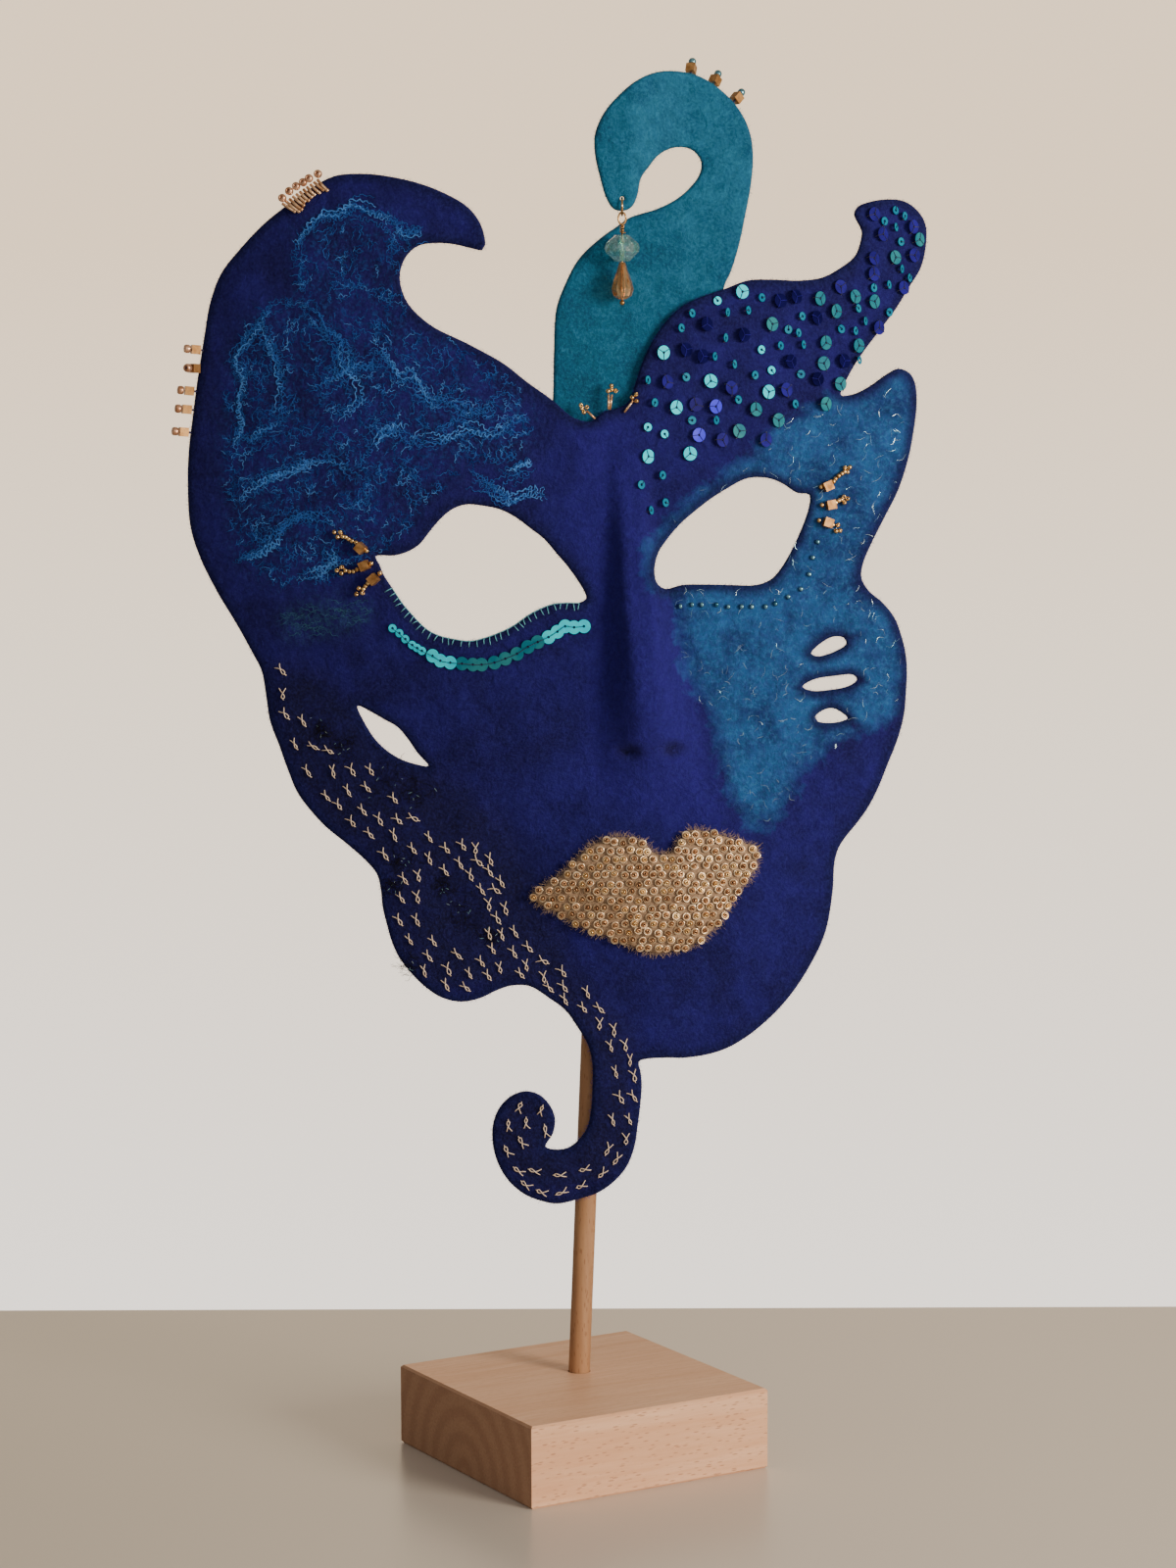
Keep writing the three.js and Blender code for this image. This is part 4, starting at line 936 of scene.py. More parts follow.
def turquoise_wool():
    """Wet-felted merino, dyed turquoise: matt and mottled, a little greener and deeper low down."""
    made, tree, shader = start_material("turquoise_merino_felt", dict(WOOL, **{"Sheen Tint": colour("#4fc3d8")}))
    place = object_place(tree)
    height = part_of(tree, place, "Z")
    broad = noise_at(tree, place, 14, 3, 0.6)
    base = blended(tree, ranged(tree, broad, 0.35, 0.65), "#1c4c70", "#246488")
    low = ranged(tree, height, 0.375, 0.470, 0.55, 0.0)
    base = blended(tree, low, base, "#16466a")
    wool_surface(tree, shader, place, base, "#3a8cac", 0.50)
    return made


def plain_wool(name, hex_code, lighter, tint):
    """Plain felt of one dye."""
    made, tree, shader = start_material(name, dict(WOOL, **{"Sheen Tint": colour(tint)}))
    wool_surface(tree, shader, object_place(tree), hex_code, lighter)
    return made


def end_grain(tree, place, normal, base):
    """Beech with the duller, ringed wood where the block is sawn across its grain."""
    facing = add_node(tree, "ShaderNodeVectorMath", {"operation": "DOT_PRODUCT"}, {0: normal})
    facing.inputs[1].default_value = (math.cos(BLOCK_TURN), math.sin(BLOCK_TURN), 0)
    end = ranged(tree, math_of(tree, "ABSOLUTE", facing.outputs["Value"], 0.0), 0.5, 0.8)
    waves_of_growth = {"wave_type": "RINGS", "Scale": 34.0, "Distortion": 2.5, "Detail": 2.0, "Detail Scale": 30.0}
    rings = add_node(tree, "ShaderNodeTexWave", waves_of_growth, {"Vector": place}).outputs[0]
    sawn = ranged(tree, noise_at(tree, place, 0.8, 4, 0.7), 0.4, 0.7, 0.0, 0.35)
    end_wood = blended(tree, ranged(tree, rings, 0.2, 0.9, 0.0, 0.5), "#b48a6c", "#9c7056")
    return blended(tree, end, base, blended(tree, sawn, end_wood, "#7d5540"))


def beech_wood(name, along):
    """Oiled beech: fine long grain, darker ray flecks two millimetres long, and plainer end grain.
    along is the grain's direction: block or dowel."""
    made, tree, shader = start_material(name, {"Roughness": 0.55, "Specular IOR Level": 0.35})
    turned_place = add_node(tree, "ShaderNodeMapping", {"Rotation": (0, 0, -BLOCK_TURN)},
                            {"Vector": object_place(tree)}).outputs[0]
    if along == "dowel":
        stretches = ((1, 1, 0.10), (1, 1, 0.22))
        pale, deep, grain, ray = "#a67c5a", "#b28a66", "#946a48", "#7d5234"
    else:
        stretches = ((0.07, 1, 1), (0.20, 0.9, 1))
        pale, deep, grain, ray = "#e0ad88", "#ebbf9c", "#cf966f", "#9c6240"
    lines_place, ray_place = [add_node(tree, "ShaderNodeMapping", {"Scale": scale},
                                       {"Vector": turned_place}).outputs[0] for scale in stretches]
    lines = noise_at(tree, lines_place, 1.5, 4, 0.6, 0.4)
    broad = noise_at(tree, lines_place, 9, 2, 0.5, 0.8)
    spots = add_node(tree, "ShaderNodeTexVoronoi", {"Scale": 1 / (0.95 * MM), "Randomness": 1.0},
                     {"Vector": ray_place}).outputs[0]
    base = blended(tree, ranged(tree, broad, 0.3, 0.7), pale, deep)
    base = blended(tree, ranged(tree, lines, 0.35, 0.7, 0.0, 0.5), base, grain)
    uneven = math_of(tree, "ADD", spots, math_of(tree, "MULTIPLY", lines, 0.35))
    ray_share = ranged(tree, uneven, 0.30, 0.46, 0.62, 0.0)
    if along == "dowel":
        base = blended(tree, ray_share, base, ray)
    else:
        normal = add_node(tree, "ShaderNodeNewGeometry").outputs["Normal"]
        fewer_on_top = ranged(tree, part_of(tree, normal, "Z"), 0.4, 0.8, 1.0, 0.35)
        base = blended(tree, math_of(tree, "MULTIPLY", ray_share, fewer_on_top), base, ray)
        base = end_grain(tree, turned_place, normal, base)
    tree.links.new(base, shader.inputs["Base Color"])
    rough_up(tree, shader, lines, 0.35, 0.12)
    return made


def plated_metal(name, hex_code, other, roughness, metallic=1.0):
    """Plated brass or lined glass seen as metal: bright rims, worn a little unevenly from bead to bead."""
    made, tree, shader = start_material(name, {"Metallic": metallic, "Roughness": roughness})
    patch = noise_at(tree, object_place(tree), 2.6, 2, 0.5)
    two_toned(tree, shader, patch, 0.35, 0.65, hex_code, other)
    worn = ranged(tree, patch, 0.3, 0.7, roughness * 0.8, roughness * 1.5)
    tree.links.new(worn, shader.inputs["Roughness"])
    return made


def sequin_film(name, hex_code, lighter_and_sheen, metallic=0.0, roughness=0.36, glossy=0.03):
    """Iridescent PET film, punched: patches of a lighter tone, and more of it where the film is seen aslant, as a
    painted sheen.
    """
    made, tree, shader = start_material(name, {"Metallic": metallic, "Roughness": roughness,
                                               "Specular IOR Level": glossy})
    facing = add_node(tree, "ShaderNodeLayerWeight", {"Blend": 0.35}).outputs["Facing"]
    patch = noise_at(tree, object_place(tree), 6.0, 2, 0.5)
    hue = blended(tree, ranged(tree, patch, 0.38, 0.62, 0.0, 0.8), hex_code, lighter_and_sheen)
    # Painted sheen: the lighter colour grows where the film is seen aslant.
    hue = blended(tree, math_of(tree, "MULTIPLY", facing, 0.25), hue, lighter_and_sheen)
    tree.links.new(hue, shader.inputs["Base Color"])
    return made


def cut_glass(name, hex_code, deeper, through):
    """Machine-cut crystal glass: clear, tinted, with sharp facets that throw small highlights."""
    made, tree, shader = start_material(name, {"Roughness": 0.02, "IOR": 1.56, "Transmission Weight": through,
                                               "Coat Weight": 0.3, "Coat Roughness": 0.02})
    streak = add_node(tree, "ShaderNodeMapping", {"Scale": (1, 1, 0.25)}, {"Vector": object_place(tree)})
    patch = noise_at(tree, streak.outputs[0], 2.2, 2, 0.5)
    two_toned(tree, shader, patch, 0.42, 0.60, hex_code, deeper)
    return made


def cotton(name, hex_code, darker):
    """Mercerised cotton thread: a soft sheen and a fine twist."""
    made, tree, shader = start_material(name, {"Roughness": 0.75, "Sheen Weight": 0.3, "Specular IOR Level": 0.3})
    twist = noise_at(tree, object_place(tree), 0.5, 2, 0.6)
    two_toned(tree, shader, twist, 0.4, 0.65, hex_code, darker)
    rough_up(tree, shader, twist, 0.5, 0.06)
    return made


felt_blue = ultramarine_wool()
felt_turquoise = turquoise_wool()
felt_beige = plain_wool("beige_wool_felt", "#9a8068", "#c4a88c", "#d8c4a8")
felt_sleeve = plain_wool("navy_wool_felt", "#1c1c5c", "#3d45a0", "#5b6be0")
fuzz_beige = plain_wool("beige_stray_wool", "#ac9278", "#c8b096", "#d8c4a8")
fuzz_blue = plain_wool("ultramarine_stray_wool", "#272a80", "#3a43a8", "#5b6be0")
fuzz_turquoise = plain_wool("turquoise_stray_wool", "#13809c", "#3fa9bf", "#4fc3d8")
lock_blue = plain_wool("pale_blue_curly_wool", "#3c80d8", "#88c2ff", "#9cc8f8")
lock_dull = plain_wool("dull_blue_curly_wool", "#2858ac", "#4880cc", "#7aa8e8")
lock_deep = plain_wool("deep_blue_curly_wool", "#1c3888", "#305ca8", "#5a80d0")
lock_green = plain_wool("sage_curly_wool", "#2f5a78", "#4f8098", "#80a8c0")
lock_black = plain_wool("black_curly_wool", "#0e0d18", "#2a2830", "#505060")
gold = plated_metal("gold_plated_seed_beads", "#f2d49c", "#c89c60", 0.24)
gold_bright = plated_metal("gold_cup_sequin_foil", "#f2dcb8", "#d2b08a", 0.22, 0.5)
gold_deep = plated_metal("bronze_lined_seed_beads", "#c69a70", "#8e6446", 0.27)
copper = plated_metal("copper_plated_beads", "#ecc0a0", "#c08a68", 0.26, 0.7)
champagne = plated_metal("champagne_plated_cubes", "#d4a268", "#9a6c3c", 0.34, 0.72)
lined_bugle = plated_metal("silver_lined_bugles", "#f0ceaa", "#c4946a", 0.2, 0.8)
wire_gold = plated_metal("gold_filled_wire", "#dcb27a", "#a87c48", 0.22)
film_teal = sequin_film("teal_sequin_film", "#1c7086", "#30868e")
# The teal film drawn lighter: painted light for the sequins that catch the lamp.
film_teal_lit = sequin_film("teal_sequin_film_lit", "#00d8f8", "#20ecff")
film_dull = sequin_film("sea_green_sequin_film", "#0c7094", "#1c88a4")
film_violet = sequin_film("violet_sequin_film", "#1e1768", "#2b228c")
# film_violet drawn lighter: painted light for the two sequins that catch the lamp.
film_violet_lit = sequin_film("violet_sequin_film_lit", "#3f38f0", "#5c58ff")
film_navy = sequin_film("navy_sequin_film", "#0c0a38", "#14104c", glossy=0.0)
clear_aqua = cut_glass("aqua_cut_crystal", "#dcfcf8", "#98ece6", 0.88)
amber_crystal = cut_glass("amber_cut_crystal", "#ffd49a", "#c08848", 0.82)
lined_aqua = plated_metal("silver_lined_aqua_seeds", "#86bccc", "#2c6c88", 0.12, 0.85)
thread_cream = cotton("cream_cotton_thread", "#f4e2cc", "#d8bc9c")
thread_navy = cotton("navy_sewing_thread", "#0e0e38", "#1a1a54")
thread_teal = cotton("teal_embroidery_thread", "#68bccc", "#4394a8")
tinsel = sequin_film("iridescent_tinsel", "#9fdcf0", "#e8fbff", 0.5, 0.2, 0.3)
beech_block = beech_wood("oiled_beech_block", "block")
beech_dowel = beech_wood("beech_dowel", "dowel")


# Felt pieces

def flat_of(pixels, face=smooth_face):
    return seen_on(face, pixels)[:, [0, 2]]


def soft_area(flat, pixels, blur):
    """How far flat points lie inside an area of the photograph, from 0 outside to 1 inside."""
    loop = flat_of(pixels)
    away = edge_distance(flat, [loop])
    return smooth(-blur, blur, np.where(inside(flat, [loop]), away, -away))


def mask_areas(flat, away):
    """The shares of each laid colour on the mask's felt, with painted shade and painted light, which
    ultramarine_wool reads.
    """
    x, z = flat[:, 0], flat[:, 1]
    cerulean = soft_area(flat, CERULEAN_CHEEK, 8.5)
    haze = soft_area(flat, FOREHEAD_HAZE, 7.0)
    dark = soft_area(flat, DARK_CHEEK, 7.0) * 0.9
    # Painted shade: the nostrils' hollows and the folds at the slits join the dark veil, and the folds lose their
    # cerulean.
    for spot in NOSTRILS:
        dark = np.maximum(dark, dimple(x, z, spot, *NOSTRIL_SHADE))
    for place in SLIT_FOLDS:
        depth = fold(x, z, *place)
        dark = np.maximum(dark, depth)
        cerulean = cerulean * (1 - 0.9 * depth)
    # Painted light on the nose and its right side.
    nose_light = soft_area(flat, LIT_NOSE_AREA, 8.0)
    green = soft_area(flat, GREEN_PATCH, 4.0)
    # rim: painted shade along the cut edges
    rim = 1 - smooth(1.3, 4.6, away)
    one = np.ones(len(flat))
    return {"zones": np.stack([cerulean, haze, dark, one], axis=1),
            "tints": np.stack([nose_light, green, rim, one], axis=1)}


mask_loop = flat_of(MASK_OUTLINE)
hole_loops = [flat_of(loop) for loop in (LEFT_EYE, RIGHT_EYE, LEFT_SLIT, TOP_SLIT, MIDDLE_SLIT, LOW_SLIT)]
mask_loops = [mask_loop] + hole_loops
mask_felt = felt_sheet("mask_felt", mask_loop, hole_loops, felt_face, FELT, 2.0, 1.45, felt_blue, mask_areas)
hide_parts("mask_shell")


def corners_of(node):
    """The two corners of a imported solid's box, in millimetres."""
    return [np.array(corner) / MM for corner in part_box(node)]


def on_neck(place):
    return neck_left + place[0] * NECK_WIDTH, neck_bottom + place[1] * NECK_HEIGHT


ring_low, ring_high = corners_of("jump_ring")
ring_middle = (ring_low + ring_high) / 2
hole_place = np.array(on_neck(RING_HOLE))
ring_eye = np.array([hole_place + RING_HOLE_RADIUS * np.array([math.cos(t), math.sin(t)])
                     for t in np.arange(8) * math.pi / 4])
swan_loop = np.vstack([flat_of(SWAN_OUTLINE, neck_face), [on_neck(place) for place in SWAN_BASE]])
swan_felt = felt_sheet("swan_felt", swan_loop, [ring_eye], neck_face, FELT, 1.9, 1.45, felt_turquoise)
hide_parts("swan_neck")

lips_middle = np.array([mouth_x, mouth_z])


def lips_face(x, z):
    reach = np.hypot((x - mouth_x) / (LIPS_WIDTH / 2), (z - mouth_z) / (LIPS_HEIGHT / 2))
    fullness = LIPS_FELT * (1 - 0.5 * smooth(0.3, 1.1, reach))
    return smooth_face(x, z) - CLEARANCE - fullness + 0.12 * waves(x, z, 5, 31)


lips_loop = flat_of(LIPS_OUTLINE)
lips_pad_loop = lips_middle + (lips_loop - lips_middle) * 0.972
lips_felt = felt_sheet("lips_felt", lips_pad_loop, [], lips_face, 2.2, 1.5, 1.05, felt_beige)
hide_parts("lips_pad")

# Felt sleeve on the back that holds the dowel's top: a sewn patch with a tube
dowel_way = np.array([math.sin(DOWEL_LEAN), 0, math.cos(DOWEL_LEAN)])
sleeve_low, sleeve_high = corners_of("dowel_sleeve")
sleeve_z = (sleeve_low[2] + sleeve_high[2]) / 2
sleeve_side = float(dowel_x(sleeve_z))
patch_shares = [(-1, -0.6), (-1, 0.6), (-0.8, 1), (0, 1.0), (0.8, 1), (1, 0.6), (1, -0.6), (0.8, -1), (0, -1.0),
                (-0.8, -1)]
patch_loop = np.array([(sleeve_side + across * SLEEVE_WIDTH / 2, sleeve_z + up * SLEEVE_LENGTH / 2)
                       for across, up in patch_shares])


def patch_face(x, z):
    return np.full(np.shape(x), sleeve_low[1]) + 0.1 * waves(x, z, 6, 41)


sleeve_patch = felt_sheet("sleeve_patch", patch_loop, [], patch_face, FELT, 1.8, 1.3, felt_sleeve)
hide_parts("dowel_sleeve")
inner, half = DOWEL_DIAMETER / 2 + CLEARANCE, SLEEVE_LENGTH / 2
outer = inner + FELT
tube_rows = [(inner, -half + 1), (inner + 1, -half), (outer - 1, -half), (outer, -half + 1)]
tube_rows += [(outer + 0.15 * math.sin(i * 1.7), -half + 1 + i * (2 * half - 2) / 9) for i in range(1, 9)]
tube_rows += [(outer, half - 1), (outer - 1, half), (inner + 1, half), (inner, half - 1)]
sleeve_tube = Trimmings()
sleeve_tube.add(turned(tube_rows, 36), (sleeve_side, DOWEL_SETBACK, sleeve_z), axes_along(dowel_way))
for side in (-1, 1):
    for i in range(9):
        z = sleeve_z + (i - 4) * 3.0
        foot = np.array([sleeve_side + side * (SLEEVE_WIDTH / 2 - 1.0), sleeve_low[1] + FELT + 0.1, z])
        sleeve_tube.add(thread([foot + np.array([side * 1.4, -1.2, 0]), foot + np.array([side * 0.5, 0.1, 0.2]),
                                foot + np.array([-side * 1.6, 0.1, 0.9])], THREAD), slot=1)
sleeve_tube = sleeve_tube.make("sleeve_tube", [felt_sleeve, thread_navy])

# Stand: the block keeps its solid, the dowel is turned round

def keep_solid(node, finish, rounding):
    """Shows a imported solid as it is, in its own finish and with its edges eased."""
    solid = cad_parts[node]
    solid.data.materials.clear()
    solid.data.materials.append(finish)
    eased = solid.modifiers.new("eased_edges", "BEVEL")
    eased.width = rounding * MM
    eased.segments = 3
    eased.limit_method = "ANGLE"


keep_solid("stand_block", beech_block, BLOCK_ROUNDING)
dowel_low, dowel_high = corners_of("stand_dowel")
dowel_length = (dowel_high[2] - dowel_low[2]) / math.cos(DOWEL_LEAN) - DOWEL_DIAMETER * math.tan(DOWEL_LEAN)
dowel_z = (dowel_low[2] + dowel_high[2]) / 2
r, half, bore, chamfer = DOWEL_DIAMETER / 2, dowel_length / 2, 0.2, 0.5
rows = [(bore, -half), (r - chamfer, -half), (r, -half + chamfer)]
rows += [(r, -half + chamfer + i * (dowel_length - 1) / 12) for i in range(1, 12)]
rows += [(r, half - chamfer), (r - chamfer, half), (bore, half)]
dowel = Trimmings()
dowel.add(turned(rows, 40), (float(dowel_x(dowel_z)), DOWEL_SETBACK, dowel_z), axes_along(dowel_way))
dowel = dowel.make("beech_dowel", [beech_dowel])
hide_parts("stand_dowel")


# Beads

def centre_of(node):
    low, high = corners_of(node)
    return (low + high) / 2


def loose_way(ahead, source):
    """A direction towards the viewer, tipped at random."""
    return np.array([source.uniform(-1, 1), -ahead, source.uniform(-1, 1)])


small_seed = seed_bead(SEED)
for i in range(1, 4):
    for side in ("left", "right"):
        keep_solid("eye_cube_%s_%d" % (side, i), champagne, CUBE_ROUNDING)

strand_beads = Trimmings()
maker = random.Random(3)
for i, (end, cube, seeds, picot) in enumerate(STRANDS):
    knot = picot[0] if i < 3 else picot[-1]
    row, _ = on_felt([cube] + seeds + [knot], 1.1)
    for before, point, after in zip(row, row[1:], row[2:]):
        strand_beads.add(small_seed, point, axes_along(after - before, maker.uniform(0, 3)))
    for point in on_felt(picot, 1.25)[0]:
        strand_beads.add(small_seed, point, axes_along(loose_way(0.7, maker)))
    last = on_felt([end], 1.0)[0][0]
    strand_beads.add(small_seed, last, axes_along(row[1] - row[0]), 1.05)
strand_beads = strand_beads.make("eye_strand_seeds", [gold])


def stack_beads(prefix, count, size, finish, name):
    """Round beads on the cubes that are sewn to an edge, each along its cube's line, with their thread and a knot
    at the tip.
    """
    gathered = Trimmings()
    for i in range(1, count + 1):
        cube_name, bead_name = "%s_%d_cube" % (prefix, i), "%s_%d_bead" % (prefix, i)
        cube_middle, bead_middle = centre_of(cube_name), centre_of(bead_name)
        way = (bead_middle - cube_middle) / np.linalg.norm(bead_middle - cube_middle)
        gathered.add(seed_bead(size, 22), bead_middle, axes_along(way))
        gathered.add(thread([cube_middle, cube_middle - way * 1.8, cube_middle - way * 3.4], 0.9), slot=1)
        knot = bead_middle + way * size * 0.40
        aside = axes_along(way)[0] * 0.5
        gathered.add(thread([knot - way * 0.3 - aside, knot, knot - way * 0.3 + aside], FINE_THREAD), slot=1)
        keep_solid(cube_name, champagne, CUBE_ROUNDING)
    piece = gathered.make(name, [finish, thread_navy])
    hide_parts(*["%s_%d_bead" % (prefix, i) for i in range(1, count + 1)])


stack_beads("edge_stack", 5, 3.2, copper, "edge_round_beads")
stack_beads("crest_stack", 3, 2.8, lined_aqua, "crest_round_beads")

# Comb on the horn: round beads with their holes to the front, and fine curved tubes below them
comb = Trimmings()
bead_spots, bead_ways = on_felt(COMB_BEADS, 2.6)
for point, way in zip(bead_spots, bead_ways):
    comb.add(seed_bead(3.0, 20), point, axes_along(way + np.array([-0.15, 0, 0.2])))
ends, end_ways = on_felt(COMB_TUBE_ENDS, 1.1)
starts, _ = on_felt(COMB_TUBE_STARTS, 1.5)
for a, b, way in zip(starts, ends, end_ways):
    middle = (a + b) / 2 + way * 0.7
    line = smooth_line([a, middle, b], 0.6, closed=False)
    comb.add(thread(line, 1.15, 8), slot=1)
    comb.add(seed_bead(1.5, 10), b, axes_along(b - middle), slot=1)
comb = comb.make("comb_beads_and_tubes", [copper, lined_bugle])
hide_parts("horn_comb")

# Bugles on the brow with picots of gold seeds
pins = Trimmings()
for foot, tip, seeds in BROW_PINS:
    (low, high), _ = on_felt([foot, tip], 1.0)
    pins.add(thread([low, (low + high) / 2, high], 0.85, 10), slot=1)
    for point in on_felt(seeds, 1.3)[0]:
        pins.add(small_seed, point, axes_along(loose_way(0.8, maker)), 0.95)
pins = pins.make("brow_bugles", [gold, lined_bugle])
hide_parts("brow_pin_1", "brow_pin_2", "brow_pin_3", "brow_pin_4")

# Clear seeds under the right eye, half sunk in the wool
clear_row = Trimmings()
spots, _ = on_felt(CLEAR_SEEDS, 0.45)
for i, point in enumerate(spots):
    along = spots[min(i + 1, len(spots) - 1)] - spots[max(i - 1, 0)]
    clear_row.add(seed_bead(1.9), point, axes_along(along, 0.4 * i))
clear_row = clear_row.make("clear_seed_row", [lined_aqua])


# Sequins

def tipped(way, amount, source):
    """A direction tipped at random, as a sequin lies on uneven wool."""
    jog = np.array([source.uniform(-1, 1), 0, source.uniform(-1, 1)]) * amount
    return way + jog


# The fin's films and the thread of the spokes, in the order of its materials
TEAL, BRIGHT, VIOLET, NAVY, DULL, VIOLET_LIT, DARK_THREAD = range(7)
SEQUIN_TIP = 0.12
SPOKE = 0.27


def sew_on(gathered, shape, pixels, size, slot, source, turns=(0.30, 0.56), spokes=3, spoke_slot=DARK_THREAD):
    """Sequins stitched on the wool, each turned a little to the right on its bed, with its thread spokes."""
    for bed, way in zip(*on_felt(pixels, 0.22)):
        turn = source.uniform(*turns)
        point = bed + way * (0.42 * size * math.sin(turn))
        facing = tipped(way, SEQUIN_TIP, source) + np.array([math.tan(turn), 0, 0])
        axes = axes_along(facing, source.uniform(0, 6))
        gathered.add(shape, point, axes, slot=slot)
        for k in range(spokes):
            t = 2 * math.pi * k / 3 + 0.5
            out = axes[0] * math.cos(t) + axes[1] * math.sin(t)
            end = point + out * size * 0.58
            down = float(np.dot(end - bed, way)) + 0.35
            line = [point + axes[2] * 0.2, point + out * size * 0.28 + axes[2] * 0.28,
                    point + out * size * 0.52 + axes[2] * 0.18, end - way * down]
            gathered.add(thread(line, SPOKE, 5), slot=spoke_slot)


maker = random.Random(8)
fin_sequins = Trimmings()
large, small = flat_sequin(LARGE_SEQUIN * 1.02), flat_sequin(SMALL_SEQUIN, 0.5, 16)
# The teal sequins that catch the lamp, and the small bright ones, take the lighter teal film as painted light.
for pixels, film, spoke in ((TEAL_SEQUINS[:BRIGHT_SEQUINS], BRIGHT, DARK_THREAD),
                            (TEAL_SEQUINS[BRIGHT_SEQUINS:], TEAL, DARK_THREAD), (LIT_VIOLET_SEQUINS, VIOLET_LIT, DARK_THREAD),
                            # The navy sequins' spokes take the lighter film_violet: painted glints on their navy
                            # thread.
                            (VIOLET_SEQUINS, VIOLET, DARK_THREAD), (NAVY_SEQUINS, NAVY, VIOLET)):
    sew_on(fin_sequins, large, pixels, LARGE_SEQUIN, film, maker, spoke_slot=spoke)
sew_on(fin_sequins, small, SMALL_BRIGHT_SEQUINS, SMALL_SEQUIN, BRIGHT, maker, (0.1, 0.5), 1)
sew_on(fin_sequins, small, SMALL_TEAL_SEQUINS, SMALL_SEQUIN, DULL, maker, (0.2, 1.05), 1)
fin_sequins = fin_sequins.make("fin_sequins", [film_teal, film_teal_lit, film_violet, film_navy, film_dull, film_violet_lit,
                                               thread_navy], smooth_shade=False)

string = Trimmings()
for point, way in zip(*on_felt(STRING_SMALL, 0.5)):
    string.add(small, point, axes_along(tipped(way, 0.1, maker)), slot=0)
path = smooth_line(STRING_LARGE, 9.2, closed=False)
large_spots, large_ways = on_felt(path, 0.75)
for i, (point, way) in enumerate(zip(large_spots, large_ways)):
    ahead = large_spots[min(i + 1, len(path) - 1)] - large_spots[max(i - 1, 0)]
    ahead = ahead / np.linalg.norm(ahead)
    share = i / (len(path) - 1)
    # The string's end sequins take the lighter teal film: painted light where they catch the lamp.
    bright = share < 0.16 or share > 0.72
    axes = axes_along(way - ahead * 0.12, i * 0.7)
    string.add(flat_sequin(LARGE_SEQUIN, 0.48), point, axes, slot=0 if bright else 1)
thread_spots, _ = on_felt(np.vstack([STRING_SMALL, STRING_LARGE]), 1.25)
string.add(thread(smooth_line(thread_spots, 1.0, closed=False), FINE_THREAD), slot=2)
string = string.make("eye_sequin_string", [film_teal_lit, film_teal, thread_navy], smooth_shade=False)
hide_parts("sequin_string")

# Lips: cup sequins sewn on close together, each held by a gold seed
maker = random.Random(14)
lip_work = Trimmings()
cup, lip_seed = cup_sequin(CUP_SEQUIN), seed_bead(SEED * 0.86)
low, high = lips_loop.min(axis=0), lips_loop.max(axis=0)
spots = []
row_count = int((high[1] - low[1]) / (CUP_SPACING * 0.866)) + 2
for i in range(row_count):
    for j in range(int((high[0] - low[0]) / CUP_SPACING) + 2):
        x = low[0] + (j + 0.5 * (i % 2)) * CUP_SPACING + maker.uniform(-0.55, 0.55)
        z = low[1] + i * CUP_SPACING * 0.866 + maker.uniform(-0.55, 0.55)
        spots.append((x, z))
spots = np.array(spots)
spots = spots[inside(spots, [lips_loop])]
spots = spots[edge_distance(spots, [lips_loop]) > 0.35]
for x, z in spots:
    way = normals_of(lips_face, np.array([x]), np.array([z]))[0]
    way = tipped(way, 0.34, maker)
    way = way / np.linalg.norm(way)
    point = np.array([x, float(lips_face(x, z)), z]) + way * 0.1
    axes = axes_along(way, maker.uniform(0, 6))
    lip_work.add(cup, point, axes, slot=0)
    lean = tipped(way, 0.35, maker)
    lip_work.add(lip_seed, point + way * 0.72, axes_along(lean), slot=maker.choice((1, 2, 2)))
lip_work = lip_work.make("lip_sequins_and_seeds", [gold_bright, gold, gold_deep])


# Hand stitches

def laid(flat_lines, pixel, turn):
    """Threads drawn flat, turned and laid on the felt about a pixel's place."""
    size, lift = 0.92, 0.32
    (spot,), _ = on_felt([pixel])
    for line in flat_lines:
        line = np.asarray(line, float)
        u = (line[:, 0] * math.cos(turn) - line[:, 1] * math.sin(turn)) * size
        v = (line[:, 0] * math.sin(turn) + line[:, 1] * math.cos(turn)) * size
        points, _ = on_skin(np.stack([spot[0] + u, spot[2] + v], axis=1), line[:, 2:3] * lift + 0.05)
        yield thread(smooth_line(points, 0.5, closed=False), THREAD)


maker = random.Random(5)
fly = Trimmings()
for pixel in FLY_STITCHES:
    wide, long = maker.uniform(0.75, 1.15), maker.uniform(0.8, 1.1)
    turn = math.radians(maker.gauss(27, 14))
    if pixel[1] > 1040:
        turn = math.radians(maker.gauss(8, 12))
    if pixel[1] > 1105:
        turn = math.radians(maker.gauss(0, 10)) + math.atan2(1148 - pixel[1], pixel[0] - 577)
    arms = maker.uniform(0.8, 1.25)
    loop = [  # across, up and off the felt
        (-1.9 * wide * arms, 2.2, -0.8), (-1.0 * wide, 1.3, 0.9), (0.0, 0.2, 1.5), (0.66 * wide, -0.9 * long, 1.2),
        (0.60 * wide, -2.0 * long, 1.0), (0.05, -2.45 * long, 1.0), (-0.50 * wide, -1.8 * long, 1.0),
        (-0.34 * wide, -0.7, 1.5), (0.15, 0.5, 1.9), (0.5 * wide, 1.5, 1.0), (0.8 * wide * arms, 2.5, -0.8),
    ]
    tail = [(0.1, -2.0 * long, 1.6), (0.2, -2.6 * long, 1.2), (0.3, -3.1 * long, -0.8)]
    for shape in laid([loop, tail], pixel, turn):
        fly.add(shape)
fly = fly.make("cream_loop_stitches", [thread_cream])

